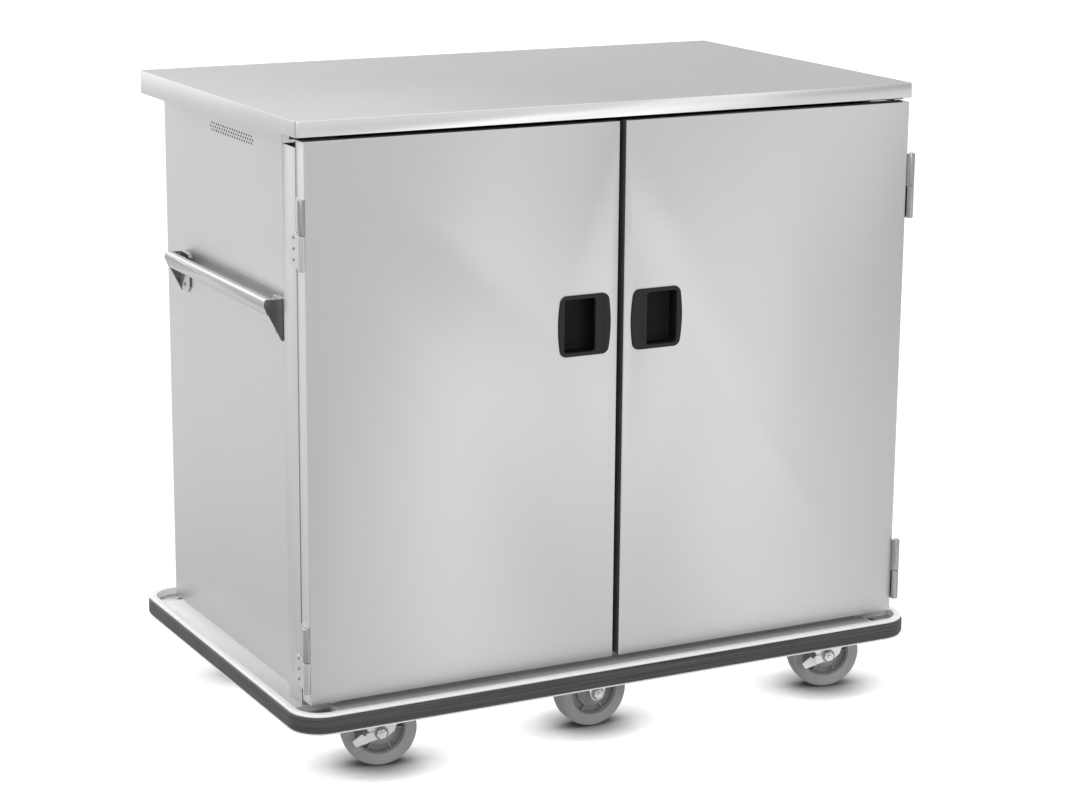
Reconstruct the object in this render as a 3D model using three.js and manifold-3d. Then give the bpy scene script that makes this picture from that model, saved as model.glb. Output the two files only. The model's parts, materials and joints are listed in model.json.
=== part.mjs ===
// Enclosed meal tray cart: a stainless cabinet with two tray bays behind lift-off doors,
// standing on a bumpered base with four braked swivel casters and two rigid ones.
// Millimetres, +Z up, doors facing -Y, origin on the floor under the middle of the base.
import * as THREE from 'three';
import { mergeVertices } from 'three/addons/utils/BufferGeometryUtils.js';
import Module from 'manifold-3d';

const wasm = await Module();
wasm.setup();

// ---------------------------------------------------------------- driving dimensions
const SHEET = 1.5; // stainless sheet of the cabinet
const GAP = 0.3; // clearance between touching pieces
const OVERRUN = 1; // how far a cut or a welded end runs past a face

// base and bumper
const BASE_HALF_X = 705.3;
const BASE_HALF_Y = 451;
const BASE_CORNER = 66;
const ARC_STEPS = 6; // straight steps in each round corner of the base
const BUMPER_BOTTOM = 133.4;
const BUMPER_TOP = 165.2;
const RAIL_BOTTOM = 129.5;
const RAIL_TOP = 171.5;
const RAIL_INSET = 17.3; // from the bumper's face to the inner edge of the rail's lip
const RAIL_THICK = 3.3;
const DECK_TOP = 170;
const GUTTER_TOP = 165;
const RECESS_TOP = 157.5;
const GUTTER_HALF = 617;
const GUTTER_END_RISE = 2; // the bar across each end of a gutter stands this much proud
const DECK_INNER = 600;
const DECK_FRONT = -378;
const DECK_BACK = 354;

// cabinet
const BODY_HALF = 643;
const BODY_BACK = 395;
const INSIDE_BACK = BODY_BACK - 2 * (SHEET + GAP); // in front of the side panels' rear flanges
const FRAME_HALF = 670;
const FRAME_FRONT = -371;
const POST_BACK = -309;
const POST_INNER = 625;
const POST_TOP = 1254;
const HEADER_BOTTOM = 1225;
const SILL_TOP = 213;
const MULLION_HALF = 20;
const MULLION_BACK = -341;
const SILL_BACK = -353;
const CEILING = 1243;
const PARTITION_HALF = 15;

// worktop
const TOP_HEIGHT = 1306;
const TOP_HALF = 682.3;
const TOP_FRONT = -403.3;
const TOP_BACK = 431.7;
const FASCIA_BOTTOM = 1276;
const SKIRT_BOTTOM = 1259;
const NOTCH_BACK = -338;

// doors
const DOOR_GAP_HALF = 6.8;
const DOOR_HALF = 669;
const DOOR_FRONT = -411;
const DOOR_DEPTH = 38.5;
const DOOR_BOTTOM = 180.7;
const DOOR_TOP = 1268.9;
const HINGE_X = 677;
const HINGE_Y = -414;
const BARREL_RADIUS = 7.2;
const PIN_RADIUS = 4;
const LEAF = 2.5;
const LEAF_BACK = -345; // rear edge of the leaf on the post's side
const LEAF_ROOT = 2; // the leaves start this far behind the pin's axis
const KNUCKLE_GAP = 0.5; // each knuckle stops this far from the split
const HINGES = [
  { name: 'upper', bottom: 1029, split: 1097, top: 1164 },
  { name: 'lower', bottom: 207, split: 270, top: 339 },
];
const LINER_FACE = DOOR_FRONT + DOOR_DEPTH - 4;

// magnetic catches under the header
const CATCH_LEFT = 27;
const CATCH_RIGHT = 71;

// recessed pulls
const PULL_X = 81;
const PULL_Z = 873;
const PULL_HALF_W = 58;
const PULL_HALF_H = 61;
const PULL_DEPTH = 30;
const CUP_HALF_W = 47;
const CUP_HALF_H = 55;
const BEZEL_PROUD = 2.8;
const GRIP_WIDTH = 24;
const GRIP_THICK = 5;

// tray racks
const RACK_DEPTH = 50;
const LEDGE = 20;
const LEDGE_LEVELS = 7;
const LEDGE_PITCH = 133.4; // 5.25 in
const FIRST_LEDGE = 250;
const LEDGE_FRONT = -345;
const UPRIGHTS_AT = [-240, 270];
const LEDGE_BACK = 388;

// push handles
const HANDLE_FRONT = -237;
const HANDLE_BACK = 309;
const HANDLE_TOP = 943;

// casters: 6 in wheel, 7.5 in overall height
const WHEEL_RADIUS = 76.2;
const CASTER_HEIGHT = 190.5;
const CASTER_X = 525;
const CASTER_Y = 301;
const TRAIL = 43;
const SWIVEL_AT_REST = THREE.MathUtils.degToRad(-14);
const LEG_INSIDE = 31.5;
const LEG_THICK = 5;
const AXLE_RADIUS = 6;
const HUB_HALF = 30;
const HEX_RADIUS = 11;
const PEDAL_THICK = 3.5;
const PLATE_THICK = 6;
const CROWN_TOP = 175.7;

// ---------------------------------------------------------------- materials
const finish = (color, roughness, metalness) => ({ color, roughness, metalness });
const STAINLESS = finish(0xc4c6c8, 0.35, 0.9);
const INNER_STEEL = finish(0xb4b6b8, 0.45, 0.85);
const RAIL_METAL = finish(0xd6d8da, 0.4, 0.8);
const ZINC = finish(0xcfd2d4, 0.35, 0.85);
const RUBBER = finish(0x4a4b4d, 0.75, 0);
const BLACK_PLASTIC = finish(0x26272a, 0.5, 0);
const SEAL = finish(0x55575a, 0.8, 0);
const TYRE = finish(0x8f9192, 0.7, 0);

// ---------------------------------------------------------------- solids
function toSolid(geometry) {
  const bare = geometry.clone();
  bare.deleteAttribute('normal');
  bare.deleteAttribute('uv');
  const merged = mergeVertices(bare, 1e-3);
  return new wasm.Manifold(new wasm.Mesh({
    numProp: 3,
    vertProperties: new Float32Array(merged.attributes.position.array),
    triVerts: new Uint32Array(merged.index.array),
  }));
}

function fromSolid(solid) {
  const { vertProperties, triVerts } = solid.getMesh();
  const geometry = new THREE.BufferGeometry();
  geometry.setAttribute('position', new THREE.BufferAttribute(vertProperties, 3));
  geometry.setIndex(new THREE.BufferAttribute(triVerts, 1));
  geometry.computeVertexNormals();
  return geometry;
}

/** Joins the first list of geometries and cuts the second list out of the result. */
function carve(solids, cuts = []) {
  const joined = solids.map(toSolid).reduce((whole, part) => whole.add(part));
  return fromSolid(cuts.map(toSolid).reduce((whole, cut) => whole.subtract(cut), joined));
}

/** Swaps left for right, keeping the faces turned outwards. */
function mirrored(geometry) {
  const copy = fromSolid(toSolid(geometry)).scale(-1, 1, 1);
  const index = copy.index.array;
  for (let i = 0; i < index.length; i += 3) {
    [index[i], index[i + 1]] = [index[i + 1], index[i]];
  }
  copy.computeVertexNormals();
  return copy;
}

const outline = (points) => new THREE.Shape(points.map(([u, v]) => new THREE.Vector2(u, v)));

/** A plan outline (x, y) raised from z = from to z = to. */
function alongZ(shape, from, to, curveSegments = 4) {
  const options = { depth: to - from, bevelEnabled: false, curveSegments };
  return new THREE.ExtrudeGeometry(shape, options).translate(0, 0, from);
}

/** A side outline (y, z) carried from x = from to x = to. */
function alongX(shape, from, to, curveSegments = 4) {
  const turn = new THREE.Matrix4().set(0, 0, 1, 0, 1, 0, 0, 0, 0, 1, 0, 0, 0, 0, 0, 1);
  return alongZ(shape, from, to, curveSegments).applyMatrix4(turn);
}

/** A front outline (x, z) carried from y = from to y = to. */
function alongY(shape, from, to, curveSegments = 4) {
  return alongZ(shape, -to, -from, curveSegments).rotateX(Math.PI / 2);
}

const block = (x0, x1, y0, y1, z0, z1) => (
  new THREE.BoxGeometry(x1 - x0, y1 - y0, z1 - z0)
    .translate((x0 + x1) / 2, (y0 + y1) / 2, (z0 + z1) / 2)
);

/** A turned piece about the Z axis from (radius, z) points. */
const turned = (points, segments) => (
  new THREE.LatheGeometry(points.map(([r, z]) => new THREE.Vector2(r, z)), segments)
    .rotateX(Math.PI / 2)
);

/** A rod along Y from a front outline of regular sides. */
const rodAlongY = (radius, sides, x, z, from, to) => (
  new THREE.CylinderGeometry(radius, radius, to - from, sides)
    .translate(x, (from + to) / 2, z)
);

/** A rectangle with round corners in plan, centred on the origin. */
function roundedRectangle(halfX, halfY, radius) {
  const shape = new THREE.Shape();
  const cx = halfX - radius;
  const cy = halfY - radius;
  shape.absarc(cx, cy, radius, 0, Math.PI / 2);
  shape.absarc(-cx, cy, radius, Math.PI / 2, Math.PI);
  shape.absarc(-cx, -cy, radius, Math.PI, 1.5 * Math.PI);
  shape.absarc(cx, -cy, radius, 1.5 * Math.PI, 2 * Math.PI);
  return shape;
}

/** Carries a section (outward offset, z) round the base's outer face as one closed ring. */
function baseRing(section) {
  const positions = [];
  const index = [];
  const corners = [[1, 1], [-1, 1], [-1, -1], [1, -1]];
  corners.forEach(([sx, sy], quarter) => {
    for (let step = 0; step <= ARC_STEPS; step += 1) {
      const angle = (quarter + step / ARC_STEPS) * Math.PI / 2;
      for (const [offset, z] of section) {
        positions.push(
          sx * (BASE_HALF_X - BASE_CORNER) + (BASE_CORNER + offset) * Math.cos(angle),
          sy * (BASE_HALF_Y - BASE_CORNER) + (BASE_CORNER + offset) * Math.sin(angle),
          z,
        );
      }
    }
  });
  const around = section.length;
  const stations = positions.length / 3 / around;
  for (let i = 0; i < stations; i += 1) {
    for (let j = 0; j < around; j += 1) {
      const here = i * around + j;
      const above = i * around + (j + 1) % around;
      const next = ((i + 1) % stations) * around + j;
      const nextAbove = ((i + 1) % stations) * around + (j + 1) % around;
      index.push(here, nextAbove, above, here, next, nextAbove);
    }
  }
  const geometry = new THREE.BufferGeometry();
  geometry.setAttribute('position', new THREE.Float32BufferAttribute(positions, 3));
  geometry.setIndex(index);
  geometry.computeVertexNormals();
  return geometry;
}

// ---------------------------------------------------------------- the assembly
const cart = new THREE.Group();

function place(name, geometry, look, parent = cart) {
  const mesh = new THREE.Mesh(geometry, new THREE.MeshStandardMaterial(look));
  mesh.name = name;
  parent.add(mesh);
}

/** Places a right-hand piece and its mirror image. */
function placePair(name, geometry, look) {
  place(`right_${name}`, geometry, look);
  place(`left_${name}`, mirrored(geometry), look);
}

// ---------------------------------------------------------------- base
function bumperRail() {
  const inner = -RAIL_INSET;
  const web = inner + RAIL_THICK;
  const [lowerLip, lowerSetback] = [RAIL_BOTTOM + 3.6, -4];
  const [upperLip, upperSetback, chamfer] = [RAIL_TOP - 6, -2.4, 2.2];
  return baseRing([
    [inner, RAIL_BOTTOM], [lowerSetback, RAIL_BOTTOM], [lowerSetback + 1, lowerLip], [web, lowerLip],
    [web, upperLip], [upperSetback, upperLip], [upperSetback, RAIL_TOP - chamfer],
    [upperSetback - chamfer, RAIL_TOP], [inner, RAIL_TOP],
  ]);
}

function bumper() {
  const back = -RAIL_INSET + RAIL_THICK + GAP;
  const rounding = 4;
  const shoulder = 0.3 * rounding; // half way round, about 1 - cos 45 deg of the radius
  return baseRing([
    [back, BUMPER_BOTTOM], [-rounding, BUMPER_BOTTOM], [-shoulder, BUMPER_BOTTOM + shoulder],
    [0, BUMPER_BOTTOM + rounding], [0, BUMPER_TOP - rounding], [-shoulder, BUMPER_TOP - shoulder],
    [-rounding, BUMPER_TOP], [back, BUMPER_TOP],
  ]);
}

/** Folded ring between the rail and the cabinet: side decks, gutters and low corner pans. */
function baseDeck() {
  const outerX = BASE_HALF_X - RAIL_INSET - GAP;
  const outerY = BASE_HALF_Y - RAIL_INSET - GAP;
  const innerY = 372;
  const flangeTop = CASTER_HEIGHT - GAP / 3;
  const pan = roundedRectangle(outerX, outerY, BASE_CORNER - RAIL_INSET - GAP);
  pan.holes.push(outline([
    [DECK_INNER, innerY], [-DECK_INNER, innerY], [-DECK_INNER, -innerY], [DECK_INNER, -innerY],
  ]));
  const solids = [alongZ(pan, RECESS_TOP - SHEET, RECESS_TOP, ARC_STEPS / 2)];
  for (const side of [-1, 1]) {
    // side deck with its two closed ends, and the flange that carries the base frame
    const deck = outline([
      [side * outerX, DECK_TOP], [side * DECK_INNER, DECK_TOP], [side * DECK_INNER, DECK_TOP - SHEET],
      [side * outerX, DECK_TOP - SHEET],
    ]);
    solids.push(alongY(deck, DECK_FRONT, DECK_BACK));
    const flangeX = side * (DECK_INNER + SHEET / 2);
    solids.push(block(flangeX - SHEET / 2, flangeX + SHEET / 2, -CASTER_Y, CASTER_Y,
      DECK_TOP - SHEET / 2, flangeTop));
    const [low, high] = [side * DECK_INNER, side * outerX].sort((a, b) => a - b);
    for (const end of [DECK_FRONT, DECK_BACK - SHEET]) {
      solids.push(block(low, high, end, end + SHEET, RECESS_TOP - SHEET, DECK_TOP - SHEET / 2));
    }
    // gutter floor running under the cabinet, with its inner flange and square-cut ends
    const flange = -SILL_BACK - 4;
    const endBar = 4;
    const gutter = outline([
      [side * outerY, GUTTER_TOP], [side * (flange + SHEET), GUTTER_TOP],
      [side * (flange + SHEET), flangeTop], [side * flange, flangeTop],
      [side * flange, GUTTER_TOP - SHEET], [side * outerY, GUTTER_TOP - SHEET],
    ]);
    solids.push(alongX(gutter, -GUTTER_HALF, GUTTER_HALF));
    const [front, back] = [side * flange, side * outerY].sort((a, b) => a - b);
    for (const end of [-GUTTER_HALF, GUTTER_HALF - endBar]) {
      solids.push(block(end, end + endBar, front, back,
        RECESS_TOP - SHEET, GUTTER_TOP + GUTTER_END_RISE));
    }
  }
  return carve(solids);
}

/** Upturned channels under the floor: two cross rails over the casters and three runners. */
function baseFrame() {
  const thick = 3;
  const bottom = CASTER_HEIGHT + GAP;
  const top = SILL_TOP - SHEET - GAP;
  const channel = (centre, half) => outline([
    [centre - half, top], [centre - half, bottom], [centre + half, bottom], [centre + half, top],
    [centre + half - thick, top], [centre + half - thick, bottom + thick],
    [centre - half + thick, bottom + thick], [centre - half + thick, top],
  ]);
  const railEnd = 622;
  const railHalf = 50;
  const runnerHalf = 18;
  const rails = [-CASTER_Y, CASTER_Y].map((y) => alongX(channel(y, railHalf), -railEnd, railEnd));
  const runners = [-railEnd + runnerHalf, 0, railEnd - runnerHalf].map(
    (x) => alongY(channel(x, runnerHalf), -CASTER_Y, CASTER_Y),
  );
  return carve([...rails, ...runners]);
}

// ---------------------------------------------------------------- cabinet
/** Welded front frame: tube posts, channel header and sill, and a channel mullion. */
function frontFrame() {
  const solids = [];
  const cuts = [];
  const foot = DECK_TOP + GAP;
  for (const side of [-1, 1]) {
    const [low, high] = [side * POST_INNER, side * FRAME_HALF].sort((a, b) => a - b);
    solids.push(block(low, high, FRAME_FRONT, POST_BACK, foot, POST_TOP));
    cuts.push(block(low + SHEET, high - SHEET, FRAME_FRONT + SHEET, POST_BACK - SHEET,
      foot - OVERRUN, POST_TOP + OVERRUN));
  }
  const channel = (lowerBack, bottom, top) => outline([
    [FRAME_FRONT, bottom], [lowerBack, bottom], [lowerBack, bottom + SHEET],
    [FRAME_FRONT + SHEET, bottom + SHEET], [FRAME_FRONT + SHEET, top - SHEET],
    [MULLION_BACK, top - SHEET], [MULLION_BACK, top], [FRAME_FRONT, top],
  ]);
  const reach = POST_INNER + SHEET / 2;
  solids.push(alongX(channel(MULLION_BACK, HEADER_BOTTOM, POST_TOP), -reach, reach));
  solids.push(alongX(channel(SILL_BACK, foot, SILL_TOP), -reach, reach));
  // apron closing the sill down to the gutter
  const apron = DECK_INNER - 2;
  solids.push(block(-apron, apron, FRAME_FRONT, FRAME_FRONT + SHEET,
    GUTTER_TOP + GAP, foot + OVERRUN));
  const mullion = outline([
    [-MULLION_HALF, FRAME_FRONT], [MULLION_HALF, FRAME_FRONT], [MULLION_HALF, MULLION_BACK],
    [MULLION_HALF - SHEET, MULLION_BACK], [MULLION_HALF - SHEET, FRAME_FRONT + SHEET],
    [-MULLION_HALF + SHEET, FRAME_FRONT + SHEET], [-MULLION_HALF + SHEET, MULLION_BACK],
    [-MULLION_HALF, MULLION_BACK],
  ]);
  solids.push(alongZ(mullion, SILL_TOP - OVERRUN, HEADER_BOTTOM + OVERRUN));
  return carve(solids, cuts);
}

/** Right side panel: a sheet flanged front and back, with the vent's staggered holes. */
function sidePanel() {
  const inner = BODY_HALF - SHEET;
  const flange = POST_INNER + GAP;
  const front = POST_BACK + GAP;
  const back = BODY_BACK - SHEET - GAP;
  const section = outline([
    [flange, front], [BODY_HALF, front], [BODY_HALF, back], [flange, back],
    [flange, back - SHEET], [inner, back - SHEET], [inner, front + SHEET], [flange, front + SHEET],
  ]);
  const sheet = alongZ(section, DECK_TOP + GAP, TOP_HEIGHT - SHEET - GAP);
  const holeRadius = 2.8;
  const vent = { y: 16, z: 1228, pitch: 12.4, rowPitch: 7, longest: 19 };
  const holes = [-1, 0, 1].flatMap((row) => {
    const count = vent.longest - Math.abs(row);
    return Array.from({ length: count }, (_, i) => (
      new THREE.CylinderGeometry(holeRadius, holeRadius, 4 * SHEET, 6)
        .rotateZ(Math.PI / 2)
        .translate(BODY_HALF, vent.y + (i - (count - 1) / 2) * vent.pitch,
          vent.z + row * vent.rowPitch)
    ));
  });
  return carve([sheet], holes);
}

const backPanel = () => (
  block(-BODY_HALF + GAP, BODY_HALF - GAP, BODY_BACK - SHEET, BODY_BACK,
    GUTTER_TOP + GUTTER_END_RISE + GAP, TOP_HEIGHT - SHEET - GAP)
);

/** Plan outline of the floor and the ceiling, stepped in between the front posts. */
function cabinetPlan() {
  const narrow = POST_INNER - GAP;
  const wide = BODY_HALF - SHEET - GAP;
  const front = MULLION_BACK + GAP;
  const step = POST_BACK + GAP + SHEET + GAP;
  return outline([
    [-narrow, front], [narrow, front], [narrow, step], [wide, step],
    [wide, INSIDE_BACK], [-wide, INSIDE_BACK], [-wide, step], [-narrow, step],
  ]);
}

/** Centre partition: one sheet folded round the front, open towards the back panel. */
function centrePartition() {
  const front = MULLION_BACK + GAP;
  const inner = PARTITION_HALF - SHEET;
  const section = outline([
    [-PARTITION_HALF, front], [PARTITION_HALF, front], [PARTITION_HALF, INSIDE_BACK],
    [inner, INSIDE_BACK], [inner, front + SHEET], [-inner, front + SHEET], [-inner, INSIDE_BACK],
    [-PARTITION_HALF, INSIDE_BACK],
  ]);
  return alongZ(section, SILL_TOP + GAP, CEILING - GAP);
}

/** Tray rack: two channel uprights against `wall` carrying angle ledges that reach `side`ways. */
function trayRack(wall, side) {
  const face = wall + side * RACK_DEPTH;
  const uprightHalf = 16;
  const headroom = 3;
  const uprights = UPRIGHTS_AT.map((y) => {
    const section = outline([
      [wall, y - uprightHalf], [face, y - uprightHalf], [face, y + uprightHalf],
      [wall, y + uprightHalf], [wall, y + uprightHalf - SHEET],
      [face - side * SHEET, y + uprightHalf - SHEET],
      [face - side * SHEET, y - uprightHalf + SHEET], [wall, y - uprightHalf + SHEET],
    ]);
    return alongZ(section, SILL_TOP + GAP, CEILING - headroom);
  });
  const legHeight = 22;
  const outerLeg = face - side * SHEET / 2;
  const ledges = Array.from({ length: LEDGE_LEVELS }, (_, level) => {
    const z = FIRST_LEDGE + level * LEDGE_PITCH;
    const section = outline([
      [outerLeg, z], [face + side * LEDGE, z], [face + side * LEDGE, z + SHEET],
      [outerLeg + side * SHEET, z + SHEET], [outerLeg + side * SHEET, z + legHeight],
      [outerLeg, z + legHeight],
    ]);
    return alongY(section, LEDGE_FRONT, LEDGE_BACK);
  });
  return carve([...uprights, ...ledges]);
}

/** Worktop: folded pan with rounded corners, its skirt cut back above the doors' swing. */
function worktop() {
  const halfY = (TOP_BACK - TOP_FRONT) / 2;
  const centreY = (TOP_BACK + TOP_FRONT) / 2;
  const cornerRadius = 7;
  const outer = roundedRectangle(TOP_HALF, halfY, cornerRadius);
  const inner = roundedRectangle(TOP_HALF - SHEET, halfY - SHEET, cornerRadius - SHEET);
  const pan = alongZ(outer, SKIRT_BOTTOM, TOP_HEIGHT, 3).translate(0, centreY, 0);
  const bottom = SKIRT_BOTTOM - OVERRUN;
  const hollow = alongZ(inner, bottom, TOP_HEIGHT - SHEET, 3).translate(0, centreY, 0);
  const notch = block(-TOP_HALF - OVERRUN, TOP_HALF + OVERRUN, TOP_FRONT - OVERRUN, NOTCH_BACK,
    bottom, FASCIA_BOTTOM);
  return carve([pan], [hollow, notch]);
}

/** Right push handle: triangular end plates with bolting flanges, bridged by a bent bar. */
function pushHandle() {
  const plateThick = 3;
  const root = BODY_HALF + GAP;
  const nose = TOP_HALF; // the bar reaches out as far as the worktop's edge
  const [flangeWidth, flangeCorner, footCorner] = [49, 8, 12];
  const [plateFoot, flangeFoot] = [HANDLE_TOP - 83, HANDLE_TOP - 81];
  const plate = outline([
    [root, plateFoot], [root + plateThick, plateFoot], [nose, HANDLE_TOP - 12],
    [nose - 2.8, HANDLE_TOP], [root, HANDLE_TOP],
  ]);
  // strip bent over the plates: (from the nose, from the top), outside first, then inside
  const bar = outline([
    [-7.8, -31], [0, -12], [-1, -4], [-4.7, 0.6], [-15.8, 0.6], [-15.8, -9],
    [-13.3, -9], [-13.3, -1.9], [-5.9, -1.9], [-3.3, -5.2], [-2.6, -11.7], [-10.1, -30],
  ].map(([x, z]) => [nose + x, HANDLE_TOP + z]));
  const solids = [alongY(bar, HANDLE_FRONT + OVERRUN, HANDLE_BACK - OVERRUN)];
  for (const [end, inward] of [[HANDLE_FRONT, 1], [HANDLE_BACK, -1]]) {
    const [low, high] = [end, end + inward * plateThick].sort((a, b) => a - b);
    solids.push(alongY(plate, low, high));
    const flange = outline([
      [0, flangeFoot], [flangeWidth - footCorner, flangeFoot],
      [flangeWidth, flangeFoot + footCorner], [flangeWidth, HANDLE_TOP - flangeCorner],
      [flangeWidth - flangeCorner, HANDLE_TOP], [0, HANDLE_TOP],
    ].map(([across, z]) => [end + inward * across, z]));
    solids.push(alongX(flange, root, root + plateThick));
  }
  return carve(solids);
}

/** Magnetic catch under the header: a flanged housing with two steel pole plates. */
function magneticCatch() {
  const [left, right] = [CATCH_LEFT, CATCH_RIGHT];
  const [ear, earHeight, height, depth] = [9, 3, 16, 20];
  const top = HEADER_BOTTOM - GAP;
  const front = FRAME_FRONT - 2 * GAP;
  const housing = outline([
    [left, top], [left, top - earHeight], [left + ear, top - earHeight], [left + ear, top - height],
    [right - ear, top - height], [right - ear, top - earHeight], [right, top - earHeight],
    [right, top],
  ]);
  const [poleProud, poleThick, poleInset] = [1.4, 2, ear + 3];
  const poles = [top - 7, top - 14].map((z) => (
    block(left + poleInset, right - poleInset, front - poleProud, front + poleThick,
      z - poleThick / 2, z + poleThick / 2)
  ));
  return carve([alongY(housing, front, front + depth), ...poles]);
}

/** Lower half of a lift-off hinge: leaf on the post's side, knuckle and standing pin. */
function hingeLower({ bottom, split, top }) {
  const knuckleTop = split - KNUCKLE_GAP;
  const pinTop = top - 16;
  const corner = 12;
  const barrel = turned([
    [0, bottom], [BARREL_RADIUS, bottom], [BARREL_RADIUS, knuckleTop], [PIN_RADIUS, knuckleTop],
    [PIN_RADIUS, pinTop], [0, pinTop],
  ], 10).translate(HINGE_X, HINGE_Y, 0);
  const leaf = outline([
    [HINGE_Y + LEAF_ROOT, bottom], [LEAF_BACK, bottom], [LEAF_BACK, knuckleTop - corner],
    [LEAF_BACK - corner, knuckleTop], [HINGE_Y + LEAF_ROOT, knuckleTop],
  ]);
  return carve([barrel, alongX(leaf, FRAME_HALF + GAP, FRAME_HALF + GAP + LEAF)]);
}

// ---------------------------------------------------------------- doors
/** Upper half of a lift-off hinge: blind knuckle over the pin and leaf on the door's edge. */
function hingeUpper({ split, top }) {
  const bottom = split + KNUCKLE_GAP;
  const bore = PIN_RADIUS + 2 * GAP;
  const boreTop = top - 12;
  const [crown, leafFront, leafTop] = [1.5, HINGE_Y + LEAF_ROOT, top - 2];
  const barrel = turned([
    [0, boreTop], [bore, boreTop], [bore, bottom], [BARREL_RADIUS, bottom],
    [BARREL_RADIUS, top - crown], [BARREL_RADIUS - crown, top], [0, top],
  ], 10).translate(HINGE_X, HINGE_Y, 0);
  const leafBack = FRAME_FRONT - 5;
  const leaf = outline([
    [leafFront, bottom], [leafBack, bottom], [leafBack, leafTop], [leafFront, leafTop],
  ]);
  const pinSpace = new THREE.CylinderGeometry(bore, bore, boreTop - bottom + OVERRUN, 10)
    .rotateX(Math.PI / 2).translate(HINGE_X, HINGE_Y, (boreTop + bottom - OVERRUN) / 2);
  return carve([barrel, alongX(leaf, DOOR_HALF + GAP, DOOR_HALF + GAP + LEAF)], [pinSpace]);
}

/** Door skin: a folded pan, open at the back, with the cut-out that the pull drops into. */
function doorSkin() {
  const back = DOOR_FRONT + DOOR_DEPTH;
  const edge = 1.5;
  const plan = outline([
    [DOOR_GAP_HALF, back], [DOOR_GAP_HALF, DOOR_FRONT + edge], [DOOR_GAP_HALF + edge, DOOR_FRONT],
    [DOOR_HALF - edge, DOOR_FRONT], [DOOR_HALF, DOOR_FRONT + edge], [DOOR_HALF, back],
  ]);
  const hollow = block(DOOR_GAP_HALF + SHEET, DOOR_HALF - SHEET, DOOR_FRONT + SHEET,
    back + OVERRUN, DOOR_BOTTOM + SHEET, DOOR_TOP - SHEET);
  const play = 0.5;
  const half = CUP_HALF_W + play;
  const tall = CUP_HALF_H + play;
  const cutOut = block(PULL_X - half, PULL_X + half, DOOR_FRONT - OVERRUN, DOOR_FRONT + 2 * SHEET,
    PULL_Z - tall, PULL_Z + tall);
  return carve([alongZ(plan, DOOR_BOTTOM, DOOR_TOP)], [hollow, cutOut]);
}

/** Door liner: the shallow inner pan that closes the skin from behind. */
function doorLiner() {
  const inset = SHEET + GAP;
  const lip = LINER_FACE - 14;
  const [left, right] = [DOOR_GAP_HALF + inset, DOOR_HALF - inset];
  const [low, high] = [DOOR_BOTTOM + inset, DOOR_TOP - inset];
  const hollow = block(left + SHEET, right - SHEET, lip - OVERRUN, LINER_FACE - SHEET,
    low + SHEET, high - SHEET);
  return carve([block(left, right, lip, LINER_FACE, low, high)], [hollow]);
}

/** Gasket ring between the liner and the front frame. */
function doorGasket() {
  const width = 9;
  const [left, right] = [MULLION_HALF - width - 1, FRAME_HALF - 10];
  const [low, high] = [SILL_TOP - 21, POST_TOP - 5];
  const rectangle = (inset) => [
    [left + inset, low + inset], [right - inset, low + inset],
    [right - inset, high - inset], [left + inset, high - inset],
  ];
  const ring = outline(rectangle(0));
  ring.holes.push(outline(rectangle(width)));
  return alongY(ring, LINER_FACE + GAP, FRAME_FRONT - GAP);
}

/** Recessed pull: barrel-sided bezel, pocket, and a grip plate with a finger space behind it. */
function recessedPull() {
  const bow = 6;
  const corner = 11;
  const sideX = PULL_HALF_W - bow;
  const sideZ = PULL_HALF_H - corner;
  const bezel = new THREE.Shape();
  bezel.moveTo(-sideX + corner, PULL_HALF_H);
  bezel.lineTo(sideX - corner, PULL_HALF_H);
  bezel.quadraticCurveTo(sideX - 1, PULL_HALF_H, sideX, sideZ);
  bezel.quadraticCurveTo(sideX + 2 * bow, 0, sideX, -sideZ);
  bezel.quadraticCurveTo(sideX - 1, -PULL_HALF_H, sideX - corner, -PULL_HALF_H);
  bezel.lineTo(-sideX + corner, -PULL_HALF_H);
  bezel.quadraticCurveTo(-sideX + 1, -PULL_HALF_H, -sideX, -sideZ);
  bezel.quadraticCurveTo(-sideX - 2 * bow, 0, -sideX, sideZ);
  bezel.quadraticCurveTo(-sideX + 1, PULL_HALF_H, -sideX + corner, PULL_HALF_H);
  const rim = alongY(bezel, DOOR_FRONT - BEZEL_PROUD, DOOR_FRONT - GAP, 5)
    .translate(PULL_X, 0, PULL_Z);
  const wall = 2;
  const back = DOOR_FRONT + PULL_DEPTH;
  const [left, right] = [PULL_X - CUP_HALF_W, PULL_X + CUP_HALF_W];
  const [low, high] = [PULL_Z - CUP_HALF_H, PULL_Z + CUP_HALF_H];
  const cup = block(left, right, DOOR_FRONT - OVERRUN, back, low, high);
  const gripEdge = left + GRIP_WIDTH;
  const pocket = block(gripEdge, right - wall, DOOR_FRONT - BEZEL_PROUD - OVERRUN, back - wall,
    low + wall, high - wall);
  const fingerSpace = block(left + wall, gripEdge + OVERRUN, DOOR_FRONT + GRIP_THICK, back - wall,
    low + wall, high - wall);
  return carve([rim, cup], [pocket, fingerSpace]);
}

/** Strike plate of the magnetic catch, on the liner. */
const strikePlate = () => (
  block(CATCH_LEFT + 5, CATCH_RIGHT - 5, LINER_FACE + GAP, LINER_FACE + GAP + SHEET,
    HEADER_BOTTOM - 17, HEADER_BOTTOM - 4)
);

// ---------------------------------------------------------------- casters
/** Hex-headed axle between two fork legs, with its axis on the origin and its pedal side at -Y. */
function axle(pedalSide) {
  const outside = LEG_INSIDE + LEG_THICK;
  const [head, sunk] = [8, 0.5];
  const shoulder = pedalSide ? outside + PEDAL_THICK + 0.7 : outside - sunk;
  return [
    rodAlongY(AXLE_RADIUS, 8, 0, 0, -shoulder - OVERRUN, outside),
    rodAlongY(HEX_RADIUS, 6, 0, 0, -shoulder - head, -shoulder),
    rodAlongY(HEX_RADIUS, 6, 0, 0, outside - sunk, outside + head),
  ];
}

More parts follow.
